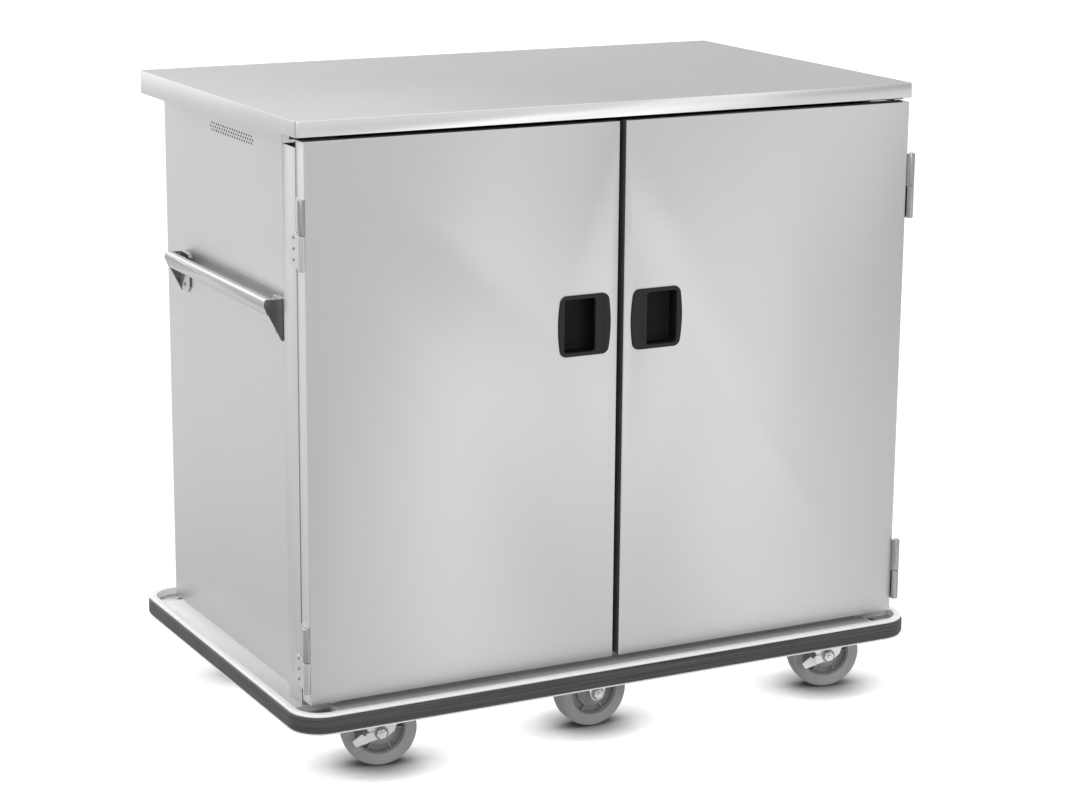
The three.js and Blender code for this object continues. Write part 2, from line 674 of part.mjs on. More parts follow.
/**
 * Side outline (x, z) of a fork leg, round about the axle at the origin. `right` lists the points
 * from the round end up to the top at the right, `left` those from the top down at the left.
 */
function legOutline(left, right) {
  const radius = 16;
  const touch = ([x, z], turn) => Math.atan2(z, x) + turn * Math.acos(radius / Math.hypot(x, z));
  const shape = new THREE.Shape(left.map(([x, z]) => new THREE.Vector2(x, z)));
  shape.absarc(0, 0, radius, touch(left.at(-1), 1), touch(right[0], -1) + 2 * Math.PI, false);
  right.forEach(([x, z]) => shape.lineTo(x, z));
  return shape;
}

/** Swivel fork about its own swivel axis: domed crown, yoke plate, two trailing legs and axle. */
function swivelFork() {
  const [yokeBottom, yokeTop] = [157, 162.5];
  const outside = LEG_INSIDE + LEG_THICK;
  const [crownRadius, raceRadius] = [40, 33];
  const crown = turned([
    [0, yokeTop - OVERRUN], [crownRadius, yokeTop - OVERRUN], [crownRadius, yokeTop + 4],
    [raceRadius, CROWN_TOP], [0, CROWN_TOP],
  ], 12);
  const [yokeFront, yokeBack] = [-30, TRAIL + 9];
  const yoke = block(yokeFront, yokeBack, -outside, outside, yokeBottom, yokeTop);
  const top = yokeTop - WHEEL_RADIUS;
  const skirt = 14;
  const leg = legOutline(
    [[yokeFront - TRAIL, top], [yokeFront - TRAIL, top - skirt], [-31, 13], [-26, 3]],
    [[27, 1], [31, 13], [44, 29], [yokeBack - TRAIL, top - skirt], [yokeBack - TRAIL, top]],
  );
  const legs = [-outside, LEG_INSIDE].map(
    (y) => alongY(leg, y, y + LEG_THICK, 3).translate(TRAIL, 0, WHEEL_RADIUS),
  );
  const bolt = axle(true).map((piece) => piece.translate(TRAIL, 0, WHEEL_RADIUS));
  return carve([crown, yoke, ...legs, ...bolt]);
}

/** Rigid fork: top plate bent down into two legs that narrow to the axle. */
function rigidFork() {
  const outside = LEG_INSIDE + LEG_THICK;
  const plate = casterPlateSolid();
  const top = CASTER_HEIGHT - PLATE_THICK / 2 - WHEEL_RADIUS;
  const [half, skirt] = [42, 14];
  const leg = legOutline([[-half, top], [-half, top - skirt]], [[half, top - skirt], [half, top]]);
  const legs = [-outside, LEG_INSIDE].map(
    (y) => alongY(leg, y, y + LEG_THICK, 3).translate(0, 0, WHEEL_RADIUS),
  );
  const bolt = axle(false).map((piece) => piece.translate(0, 0, WHEEL_RADIUS));
  return carve([plate, ...legs, ...bolt]);
}

/** Top plate with its four bolt holes. */
function casterPlateSolid() {
  const [halfX, halfY, cut] = [57, 45, 7];
  const plate = outline([
    [-halfX + cut, -halfY], [halfX - cut, -halfY], [halfX, -halfY + cut], [halfX, halfY - cut],
    [halfX - cut, halfY], [-halfX + cut, halfY], [-halfX, halfY - cut], [-halfX, -halfY + cut],
  ]);
  const bolt = { x: 44, y: 34, radius: 5.5 };
  for (const x of [-bolt.x, bolt.x]) {
    for (const y of [-bolt.y, bolt.y]) {
      const hole = new THREE.Path();
      hole.absarc(x, y, bolt.radius, 0, 2 * Math.PI, true);
      plate.holes.push(hole);
    }
  }
  return alongZ(plate, CASTER_HEIGHT - PLATE_THICK, CASTER_HEIGHT, 3);
}

/** Top plate of a swivel caster with the upper ball race pressed into it. */
function casterPlate() {
  const [bottom, top] = [CROWN_TOP + GAP, CASTER_HEIGHT - PLATE_THICK + OVERRUN];
  const [radius, chamfer] = [36, 3];
  const race = turned([
    [0, bottom], [radius - chamfer, bottom], [radius, bottom + chamfer], [radius, top], [0, top],
  ], 12);
  return carve([casterPlateSolid(), race]);
}

/** Wheel about the Y axis: crowned tread, side walls, recessed core and bored hub. */
function wheel() {
  const bore = AXLE_RADIUS + 2 * GAP;
  const half = [
    [bore, HUB_HALF], [14, HUB_HALF], [17, 14], [45, 14], [50, 22.5], [71, 23.5],
    [WHEEL_RADIUS, 11],
  ];
  const profile = [
    ...half.map(([r, y]) => new THREE.Vector2(r, -y)),
    ...half.toReversed().map(([r, y]) => new THREE.Vector2(r, y)),
    new THREE.Vector2(bore, -HUB_HALF),
  ];
  return new THREE.LatheGeometry(profile, 16);
}

/** Brake pedal: eye round the axle, arm along the fork, and a toe plate bent out beyond a notch. */
function brakePedal() {
  const near = -(LEG_INSIDE + LEG_THICK + GAP);
  const eyeRadius = 15;
  const arm = new THREE.Shape();
  arm.absarc(0, 0, eyeRadius, THREE.MathUtils.degToRad(-120), THREE.MathUtils.degToRad(170));
  [[-31, 0], [-29, -19]].forEach(([x, z]) => arm.lineTo(x, z));
  const hole = new THREE.Path();
  hole.absarc(0, 0, AXLE_RADIUS + 2 * GAP, 0, 2 * Math.PI, true);
  arm.holes.push(hole);
  const toeBend = THREE.MathUtils.degToRad(-14);
  const toe = alongY(
    outline([[-27, -1], [-27, -18.5], [-52, -25], [-59, -14], [-40, -1]]),
    -PEDAL_THICK / 2, PEDAL_THICK / 2,
  ).rotateX(toeBend).translate(0, near - PEDAL_THICK / 2, 0);
  const notch = rodAlongY(3.4, 8, -33.5, -0.5, near - 3 * PEDAL_THICK, near + PEDAL_THICK);
  return carve([alongY(arm, near - PEDAL_THICK, near, 5), toe], [notch]);
}

// ---------------------------------------------------------------- assembly
place('bumper_rail', bumperRail(), RAIL_METAL);
place('bumper', bumper(), RUBBER);
place('base_deck', baseDeck(), RAIL_METAL);
place('base_frame', baseFrame(), INNER_STEEL);
place('front_frame', frontFrame(), STAINLESS);
place('back_panel', backPanel(), STAINLESS);
place('floor_pan', alongZ(cabinetPlan(), SILL_TOP - SHEET, SILL_TOP), INNER_STEEL);
place('ceiling_pan', alongZ(cabinetPlan(), CEILING, CEILING + SHEET), INNER_STEEL);
place('centre_partition', centrePartition(), INNER_STEEL);
place('worktop', worktop(), STAINLESS);
placePair('side_panel', sidePanel(), STAINLESS);
placePair('outer_tray_rack', trayRack(BODY_HALF - SHEET - GAP, -1), INNER_STEEL);
placePair('inner_tray_rack', trayRack(PARTITION_HALF + GAP, 1), INNER_STEEL);
placePair('push_handle', pushHandle(), STAINLESS);
placePair('magnetic_catch', magneticCatch(), INNER_STEEL);

placePair('door_skin', doorSkin(), STAINLESS);
placePair('door_liner', doorLiner(), INNER_STEEL);
placePair('door_gasket', doorGasket(), SEAL);
placePair('door_pull', recessedPull(), BLACK_PLASTIC);
placePair('strike_plate', strikePlate(), ZINC);
for (const hinge of HINGES) {
  placePair(`${hinge.name}_hinge_pin_half`, hingeLower(hinge), STAINLESS);
  placePair(`${hinge.name}_hinge_door_half`, hingeUpper(hinge), STAINLESS);
}

const corners = [
  ['front_left', -1, -1], ['front_right', 1, -1], ['back_left', -1, 1], ['back_right', 1, 1],
];
for (const [name, sideX, sideY] of corners) {
  const caster = new THREE.Group();
  caster.position.set(sideX * CASTER_X, sideY * CASTER_Y, 0);
  place(`${name}_caster_plate`, casterPlate(), ZINC, caster);
  const swivel = new THREE.Group();
  swivel.rotation.z = SWIVEL_AT_REST;
  place(`${name}_fork`, swivelFork(), ZINC, swivel);
  place(`${name}_wheel`, wheel().translate(TRAIL, 0, WHEEL_RADIUS), TYRE, swivel);
  place(`${name}_brake_pedal`, brakePedal().translate(TRAIL, 0, WHEEL_RADIUS), ZINC, swivel);
  caster.add(swivel);
  cart.add(caster);
}
for (const [name, sideY] of [['front', -1], ['back', 1]]) {
  const caster = new THREE.Group();
  caster.position.set(0, sideY * CASTER_Y, 0);
  place(`${name}_middle_fork`, rigidFork(), ZINC, caster);
  place(`${name}_middle_wheel`, wheel().translate(0, 0, WHEEL_RADIUS), TYRE, caster);
  cart.add(caster);
}

export default cart;
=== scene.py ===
import json
import math

import bmesh
import bpy
import numpy as np
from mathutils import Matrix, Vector


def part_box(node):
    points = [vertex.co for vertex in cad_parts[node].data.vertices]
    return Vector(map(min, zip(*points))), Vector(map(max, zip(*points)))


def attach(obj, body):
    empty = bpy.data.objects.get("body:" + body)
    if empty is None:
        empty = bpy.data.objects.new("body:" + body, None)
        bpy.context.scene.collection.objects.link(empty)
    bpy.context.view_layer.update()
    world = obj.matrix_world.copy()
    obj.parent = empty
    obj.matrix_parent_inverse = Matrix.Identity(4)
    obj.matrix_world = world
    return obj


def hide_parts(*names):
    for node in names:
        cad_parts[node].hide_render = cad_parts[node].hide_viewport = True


# Looks of an enclosed stainless meal tray cart. Metres, +Z up, doors facing -Y.

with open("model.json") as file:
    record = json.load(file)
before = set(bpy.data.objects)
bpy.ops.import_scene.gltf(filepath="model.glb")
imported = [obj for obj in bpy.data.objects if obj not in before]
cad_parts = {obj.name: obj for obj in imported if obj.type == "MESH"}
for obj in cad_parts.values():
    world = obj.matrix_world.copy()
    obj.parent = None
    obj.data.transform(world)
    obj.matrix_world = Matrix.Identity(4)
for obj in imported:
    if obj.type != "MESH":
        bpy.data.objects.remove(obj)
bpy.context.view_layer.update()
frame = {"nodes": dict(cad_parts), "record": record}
BODY_OF = {
    node: body for body, nodes in frame["record"]["behaviour"]["bodies"].items() for node in nodes
}
MM = 0.001

# ------------------------------------------------------------------ camera
CAMERA_PLACE = (-2.6208, -5.0639, 2.0268)
CAMERA_AZIMUTH = -27.65
CAMERA_ELEVATION = 13.835
CAMERA_ROLL = 0.463
CAMERA_LENS = 92.97
SENSOR_WIDTH = 36.0
CAMERA_REACH = 60.0


def aim_camera():
    """Looks along azimuth and elevation, with a small roll: X right, Y up, Z back."""
    azimuth, elevation, roll = (
        math.radians(a) for a in (CAMERA_AZIMUTH, CAMERA_ELEVATION, CAMERA_ROLL)
    )
    back = np.array([
        math.sin(azimuth) * math.cos(elevation),
        -math.cos(azimuth) * math.cos(elevation),
        math.sin(elevation),
    ])
    level = np.array([math.cos(azimuth), math.sin(azimuth), 0.0])
    rise = np.cross(back, level)
    right = level * math.cos(roll) + rise * math.sin(roll)
    up = rise * math.cos(roll) - level * math.sin(roll)
    data = bpy.data.cameras.new("camera")
    data.lens = CAMERA_LENS
    data.sensor_width = SENSOR_WIDTH
    data.clip_end = CAMERA_REACH
    camera = bpy.data.objects.new("camera", data)
    bpy.context.scene.collection.objects.link(camera)
    matrix = np.eye(4)
    matrix[:3, 0], matrix[:3, 1], matrix[:3, 2], matrix[:3, 3] = right, up, back, CAMERA_PLACE
    camera.matrix_world = matrix.T
    bpy.context.scene.camera = camera


# ------------------------------------------------------------------ materials
EVEN = (1.0, 1.0, 1.0)
NOISE_LOW, NOISE_HIGH = 0.3, 0.7  # where nearly all values of a noise lie
LINE_ALONG, LINE_ACROSS = 3.0, 320.0  # brushed lines a metre, with and across the grain
LINE_SHARE, CLOUD_SHARE = 0.55, 0.45
SCRATCH_STRENGTH, SCRATCH_DEPTH = 0.05, 0.0004
ROUGHNESS_SPREAD, PLAIN_ROUGHNESS_SPREAD = 0.03, 0.06
SMEAR_AMOUNT = 0.75
DUST_SPREAD = 0.14
PEBBLE_DEPTH = 0.0005


def new_material(name):
    material = bpy.data.materials.new(name)
    material.use_nodes = True
    return material, material.node_tree.nodes, material.node_tree.links


def calculated(nodes, links, operation, *values, clamp=False):
    """One step of arithmetic on numbers and on outputs of other nodes."""
    node = nodes.new("ShaderNodeMath")
    node.operation = operation
    node.use_clamp = clamp
    for place, value in enumerate(values):
        if isinstance(value, float):
            node.inputs[place].default_value = value
        else:
            links.new(value, node.inputs[place])
    return node.outputs[0]


def stretched_noise(nodes, links, stretch, scale, detail):
    """Noise on Object coordinates, drawn out along the axes whose stretch is small."""
    place = nodes.new("ShaderNodeTexCoord")
    mapping = nodes.new("ShaderNodeMapping")
    mapping.inputs["Scale"].default_value = stretch
    noise = nodes.new("ShaderNodeTexNoise")
    noise.inputs["Scale"].default_value = scale
    noise.inputs["Detail"].default_value = detail
    links.new(place.outputs["Object"], mapping.inputs["Vector"])
    links.new(mapping.outputs["Vector"], noise.inputs["Vector"])
    return noise.outputs["Fac"]


def varied(nodes, links, factor, value, spread):
    """Spreads a value by a noise, from value - spread to value + spread."""
    node = nodes.new("ShaderNodeMapRange")
    node.inputs["From Min"].default_value = NOISE_LOW
    node.inputs["From Max"].default_value = NOISE_HIGH
    node.inputs["To Min"].default_value = value - spread
    node.inputs["To Max"].default_value = value + spread
    links.new(factor, node.inputs["Value"])
    return node.outputs["Result"]


def grey(value):
    """A grey with a touch of blue."""
    return (value, value * 1.004, value * 1.01, 1.0)


def tinted(nodes, links, factor, tone, spread):
    """Spreads a grey tone by a noise, from tone - spread to tone + spread."""
    ramp = nodes.new("ShaderNodeValToRGB")
    dark, light = ramp.color_ramp.elements
    dark.position, dark.color = NOISE_LOW, grey(tone - spread)
    light.position, light.color = NOISE_HIGH, grey(tone + spread)
    links.new(factor, ramp.inputs["Fac"])
    return ramp.outputs["Color"]


def bumped(nodes, links, height, strength, distance, base=None):
    """The normal that a height gives, on top of another normal where there is one."""
    bump = nodes.new("ShaderNodeBump")
    bump.inputs["Strength"].default_value = strength
    bump.inputs["Distance"].default_value = distance
    links.new(height, bump.inputs["Height"])
    if base is not None:
        links.new(base, bump.inputs["Normal"])
    return bump.outputs["Normal"]


def brushed_metal(name, tone, roughness, grain, smear, spread=0.012, warp=0.005):
    """Brushed sheet. Fine lines run along the axis `grain`, the sheen is drawn out along the
    vector `smear`, and the sheet bows by a few tenths of a degree in broad upright waves."""
    material, nodes, links = new_material(name)
    shader = nodes["Principled BSDF"]
    stretch = tuple(LINE_ALONG if axis == grain else LINE_ACROSS for axis in "xyz")
    lines = stretched_noise(nodes, links, stretch, 1.0, 3.0)
    clouds = stretched_noise(nodes, links, EVEN, 2.2, 2.0)
    cloud_part = calculated(nodes, links, "MULTIPLY", clouds, CLOUD_SHARE)
    mixed = calculated(nodes, links, "MULTIPLY_ADD", lines, LINE_SHARE, cloud_part)
    links.new(tinted(nodes, links, mixed, tone, spread), shader.inputs["Base Color"])
    links.new(varied(nodes, links, mixed, roughness, ROUGHNESS_SPREAD),
              shader.inputs["Roughness"])
    waves = stretched_noise(nodes, links, (1.6, 1.6, 0.5), 1.4, 1.0)
    bowed = bumped(nodes, links, waves, 1.0, warp)
    links.new(bumped(nodes, links, lines, SCRATCH_STRENGTH, SCRATCH_DEPTH, bowed),
              shader.inputs["Normal"])
    turn = nodes.new("ShaderNodeVectorTransform")
    turn.vector_type = "VECTOR"
    turn.convert_from = "OBJECT"
    turn.convert_to = "WORLD"
    turn.inputs["Vector"].default_value = smear
    links.new(turn.outputs["Vector"], shader.inputs["Tangent"])
    shader.inputs["Anisotropic"].default_value = SMEAR_AMOUNT
    shader.inputs["Metallic"].default_value = 1.0
    return material


def plain_metal(name, tone, roughness, mottling, metallic=1.0):
    """Smooth plated or satin metal with a fine, even mottling."""
    material, nodes, links = new_material(name)
    shader = nodes["Principled BSDF"]
    mottle = stretched_noise(nodes, links, EVEN, 60.0, 4.0)
    links.new(tinted(nodes, links, mottle, tone, mottling), shader.inputs["Base Color"])
    links.new(varied(nodes, links, mottle, roughness, PLAIN_ROUGHNESS_SPREAD),
              shader.inputs["Roughness"])
    links.new(bumped(nodes, links, mottle, SCRATCH_STRENGTH, SCRATCH_DEPTH),
              shader.inputs["Normal"])
    shader.inputs["Metallic"].default_value = metallic
    return material


def moulded(name, tone, roughness, stretch, strength, specular=0.5, streaks=0.0):
    """Moulded plastic or rubber: a fine pebbled skin and a little dust in its tone.
    Streaks are marks drawn out along the skin, as rubbing leaves them on a bumper."""
    material, nodes, links = new_material(name)
    shader = nodes["Principled BSDF"]
    pebbles = stretched_noise(nodes, links, stretch, 1.0, 3.0)
    dust = stretched_noise(nodes, links, EVEN, 14.0, 3.0)
    links.new(tinted(nodes, links, pebbles if streaks else dust, tone,
                     tone * (streaks or DUST_SPREAD)),
              shader.inputs["Base Color"])
    links.new(varied(nodes, links, dust, roughness, PLAIN_ROUGHNESS_SPREAD),
              shader.inputs["Roughness"])
    links.new(bumped(nodes, links, pebbles, strength, PEBBLE_DEPTH), shader.inputs["Normal"])
    shader.inputs["Specular IOR Level"].default_value = specular
    return material


# smear directions, in each piece's own axes
UPWARD, ACROSS = (0.05, 0.08, 1.0), (0.05, 1.0, 0.08)
DOOR_STEEL = brushed_metal("door_steel", 0.74, 0.32, "x", UPWARD)
SIDE_STEEL = brushed_metal("side_steel", 0.67, 0.36, "y", UPWARD)
# the worktop's one sheet in tones by which way a face looks: its top darker, painted shade, and
# its front skirt much paler, painted light
SHADED_TOP_STEEL = brushed_metal("worktop_steel_painted_shade", 0.435, 0.30, "x", ACROSS)
LIT_SKIRT_STEEL = brushed_metal("skirt_steel_painted_light", 0.92, 0.2, "x", UPWARD)
INNER_STEEL = brushed_metal("inner_steel", 0.56, 0.45, "y", UPWARD, 0.03)
HANDLE_STEEL = brushed_metal("handle_steel", 0.66, 0.20, "y", ACROSS, 0.01, 0.0)
# a dark copy of the handle's steel: painted shade on the handles' end plates and on the faces
# turned to the wall
SHADED_HANDLE_STEEL = brushed_metal("handle_steel_painted_shade", 0.22, 0.3, "x", UPWARD, 0.02, 0.0)
# a darker copy of the hinges' steel for the knuckles: painted shade, standing in for the darker
# surroundings they mirror
SHADED_KNUCKLE_STEEL = brushed_metal("knuckle_steel_painted_shade", 0.46, 0.24, "z", ACROSS, 0.02, 0.0)
LEAF_STEEL = brushed_metal("leaf_steel", 0.70, 0.36, "z", UPWARD, 0.012, 0.0)
RAIL_METAL = plain_metal("satin_rail", 0.96, 0.42, 0.02, 0.1)
DECK_METAL = plain_metal("satin_deck", 0.64, 0.5, 0.02, 0.35)
# a pale, non-metal copy of the deck's metal for the gutter before the doors: painted light where
# the doors' shade falls
LIT_GUTTER_METAL = plain_metal("satin_gutter_painted_light", 0.98, 0.5, 0.01, 0.0)
# a darker copy of the deck's metal for the corner pockets' floors: painted shade, as they lie low
# and shaded
SHADED_RECESS_METAL = plain_metal("recess_deck_painted_shade", 0.42, 0.4, 0.05, 0.7)
ZINC = plain_metal("bright_zinc", 0.86, 0.34, 0.04, 0.8)
# a darker steel for rivet and bolt heads and washers; its darkness on the heads is painted shade
RIVET_METAL = plain_metal("rivet_metal", 0.30, 0.4, 0.04)
BUMPER_RUBBER = moulded("bumper_rubber", 0.055, 0.45, (3.0, 3.0, 420.0), 0.3, 0.5, 0.5)
PULL_PLASTIC = moulded("pull_plastic", 0.014, 0.42, (1500.0,) * 3, 0.2, 0.34)
# a darker copy of the pull's plastic for the inside of its cup: painted shade
PULL_CUP_SHADE = moulded("pull_cup_painted_shade", 0.005, 0.5, (1500.0,) * 3, 0.2, 0.2)
# dark colour for the doors' edges in the gap between them: painted shade in the gap
GAP_EDGE_SHADE = moulded("door_gap_edge_painted_shade", 0.10, 0.6, (900.0,) * 3, 0.2, 0.3)
# dark rubber for the doors' gaskets, and as painted shade for the plates under the worktop's
# corners
SEAL_AND_SHADE_RUBBER = moulded("seal_and_painted_shade_rubber", 0.05, 0.7, (500.0,) * 3, 0.2)
TYRE_RUBBER = moulded("grey_tyre", 0.40, 0.6, (400.0,) * 3, 0.2)
CORE_PLASTIC = moulded("grey_core", 0.33, 0.5, (900.0,) * 3, 0.15)


# ------------------------------------------------------------------ meshes
def grid_faces(rows, columns, close_rows, close_columns):
    """Quads of a rows by columns grid of points, row after row."""
    row = np.arange(rows if close_rows else rows - 1)
    column = np.arange(columns if close_columns else columns - 1)
    r, c = (a.ravel() for a in np.meshgrid(row, column, indexing="ij"))
    r1, c1 = (r + 1) % rows, (c + 1) % columns
    return np.stack([r * columns + c, r * columns + c1, r1 * columns + c1, r1 * columns + c], 1)


def turned(profile, steps):
    """A (radius, height) outline turned about Z: x = r cos a, y = r sin a, z = height.
    An end on the axis closes there in a pole; an outline that closes on itself makes a ring."""
    profile = np.array(profile, float)
    closed = np.allclose(profile[0], profile[-1])
    body = profile[:-1] if closed else profile[1:-1]
    angle = np.linspace(0, 2 * math.pi, steps, endpoint=False)
    x = np.outer(body[:, 0], np.cos(angle))
    y = np.outer(body[:, 0], np.sin(angle))
    z = np.repeat(body[:, 1:], steps, axis=1)
    points = np.stack([x, y, z], -1).reshape(-1, 3)
    faces = [list(f) for f in grid_faces(len(body), steps, closed, True)]
    if not closed:
        poles = np.array([[0, 0, profile[0, 1]], [0, 0, profile[-1, 1]]])
        first, last = len(points), len(points) + 1
        points = np.vstack([points, poles])
        top = (len(body) - 1) * steps
        around = np.arange(steps)
        ahead = (around + 1) % steps
        faces += [list(f) for f in np.stack([np.full(steps, first), ahead, around], 1)]
        faces += [list(f) for f in np.stack([np.full(steps, last), top + around, top + ahead], 1)]
    return points, faces


def prism(outline, low, high):
    """A flat outline (u, v) raised from w = low to w = high, with one face at each end."""
    outline = np.array(outline, float)
    n = len(outline)
    points = np.vstack([
        np.column_stack([outline, np.full(n, low)]), np.column_stack([outline, np.full(n, high)]),
    ])
    faces = [list(f) for f in grid_faces(2, n, False, True)]
    faces += [list(range(n))[::-1], list(range(n, 2 * n))]
    return points, faces


def carried(section, places, outward):
    """A closed section (offset, height) carried round a closed plan path:
    point = place + offset * outward, z = height."""
    section = np.array(section, float)
    plan = places[:, None, :] + section[None, :, :1] * outward[:, None, :]
    height = np.broadcast_to(section[None, :, 1:], (len(places), len(section), 1))
    points = np.concatenate([plan, height], -1).reshape(-1, 3)
    return points, [list(f) for f in grid_faces(len(places), len(section), True, True)]


def along(axis, solid):
    """Turns a solid made about or along Z so that its Z runs along the named axis."""
    points, faces = solid
    order = {"x": [2, 0, 1], "y": [1, 2, 0]}[axis]
    return points[:, order], faces


def moved(solid, x=0.0, y=0.0, z=0.0, yaw=0.0):
    """Turns a solid about Z by yaw degrees, then moves it."""
    points, faces = solid
    c, s = math.cos(math.radians(yaw)), math.sin(math.radians(yaw))
    turn = np.array([[c, -s, 0], [s, c, 0], [0, 0, 1]])
    return points @ turn.T + np.array([x, y, z]), faces


def flipped(solid):
    """The mirror image across X = 0."""
    points, faces = solid
    return points * np.array([-1.0, 1.0, 1.0]), [f[::-1] for f in faces]


def joined(solids):
    """Several solids as one."""
    points, faces, count = [], [], 0
    for part_points, part_faces in solids:
        points.append(part_points)
        faces += [[int(i) + count for i in f] for f in part_faces]
        count += len(part_points)
    return np.vstack(points), faces


def rounded_bar(half_u, half_v, radius, steps=6):
    """A rectangle's outline with quarter-circle corners, anticlockwise."""
    angle = np.linspace(0, math.pi / 2, steps)
    corners = []
    for quarter, (su, sv) in enumerate([(1, 1), (-1, 1), (-1, -1), (1, -1)]):
        turn = angle + quarter * math.pi / 2
        corners.append(np.column_stack([
            su * (half_u - radius) + radius * np.cos(turn),
            sv * (half_v - radius) + radius * np.sin(turn),
        ]))
    return np.vstack(corners)


BEVEL_ANGLE = math.radians(32)
WELD_DISTANCE = 1e-5
FLAT_ANGLE = math.radians(1)


def finish_piece(piece, material, body, bevel, segments, smooth):
    """Links a piece and gives it finish and body; bevel in metres, smooth in degrees."""
    bpy.context.scene.collection.objects.link(piece)
    piece.data.materials.clear()
    piece.data.materials.append(material)
    piece.data.polygons.foreach_set("use_smooth", np.ones(len(piece.data.polygons), bool))
    if bevel:
        rounding = piece.modifiers.new("rounding", "BEVEL")
        rounding.width = bevel
        rounding.segments = segments
        rounding.limit_method = "ANGLE"
        rounding.angle_limit = BEVEL_ANGLE
        rounding.use_clamp_overlap = True
        rounding.harden_normals = True
    else:
        piece.data.set_sharp_from_angle(angle=math.radians(smooth))
    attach(piece, body)


def make(name, solid, material, body, bevel=0.0, segments=2, smooth=35.0):
    """Puts a solid, in millimetres, into a mesh object with its normals turned outwards."""
    points, faces = solid
    mesh = bpy.data.meshes.new(name)
    mesh.from_pydata((points * MM).tolist(), [], faces)
    work = bmesh.new()
    work.from_mesh(mesh)
    bmesh.ops.recalc_face_normals(work, faces=work.faces)
    work.to_mesh(mesh)
    work.free()
    piece = bpy.data.objects.new(name, mesh)
    finish_piece(piece, material, body, bevel * MM, segments, smooth)
    return piece


def softened(node, material, bevel, segments):
    """A node's own solid with its flat faces whole again and its sharp edges rounded."""
    mesh = frame["nodes"][node].data.copy()
    work = bmesh.new()
    work.from_mesh(mesh)
    bmesh.ops.remove_doubles(work, verts=work.verts, dist=WELD_DISTANCE)
    bmesh.ops.dissolve_limit(
        work, angle_limit=FLAT_ANGLE, verts=work.verts, edges=work.edges, delimit=set(),
    )
    work.to_mesh(mesh)
    work.free()
    mesh.name = f"{node}_shell"
    piece = bpy.data.objects.new(f"{node}_shell", mesh)
    finish_piece(piece, material, BODY_OF[node], bevel * MM, segments, None)
    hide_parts(node)
    return piece


def both_sides(name, solid, *finish, **edges):
    """Makes a piece of the right side and its mirror image on the left."""
    for side, own in (("right", solid), ("left", flipped(solid))):
        make(f"{side}_{name}", own, *finish, **edges)


def second_finish(piece, material, chosen):
    """Gives the faces for which chosen(centre, normal) holds another finish."""
    piece.data.materials.append(material)
    for face in piece.data.polygons:
        if chosen(face.center, face.normal):
            face.material_index = len(piece.data.materials) - 1


def dress(node, material):
    """Gives a node that stays as it is a finish of its own."""
    item = frame["nodes"][node]
    if not item.material_slots:
        item.data.materials.append(material)
    for slot in item.material_slots:
        slot.link = "OBJECT"
        slot.material = material


def box_mm(node):
    """Low and high corner of a node's box, in millimetres."""
    low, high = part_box(node)
    return np.array(low) / MM, np.array(high) / MM


# ------------------------------------------------------------------ base
BASE_LOW, BASE_HIGH = box_mm("bumper")
BASE_HALF_X, BASE_HALF_Y = BASE_HIGH[0], BASE_HIGH[1]
BASE_CORNER, CORNER_STEPS = 66.0, 22
BUMPER_BOTTOM, BUMPER_TOP = BASE_LOW[2], BASE_HIGH[2]
BUMPER_NOSE = 5.0
RAIL_LOW, RAIL_HIGH = box_mm("bumper_rail")
RAIL_BOTTOM, RAIL_TOP = RAIL_LOW[2], RAIL_HIGH[2]
RAIL_BACK, RAIL_FRONT = -17.3, -14.0  # the web's faces, behind the base's outer face
BUMPER_CLEARANCE = 0.3
PAN_RIM, PAN_START, GUTTER_START = 163.0, 600.0, -395.0


def base_path():
    """Outer face of the base in plan, with the outward direction at each point."""
    outline = rounded_bar(BASE_HALF_X, BASE_HALF_Y, BASE_CORNER, CORNER_STEPS)
    centre = np.clip(outline, [-BASE_HALF_X + BASE_CORNER, -BASE_HALF_Y + BASE_CORNER],
                     [BASE_HALF_X - BASE_CORNER, BASE_HALF_Y - BASE_CORNER])
    return outline, (outline - centre) / BASE_CORNER


def arc(centre_u, centre_v, radius, start, end, steps):
    """Points of a circle from one angle to another, in degrees."""
    angle = np.radians(np.linspace(start, end, steps))
    return np.column_stack([centre_u + radius * np.cos(angle), centre_v + radius * np.sin(angle)])


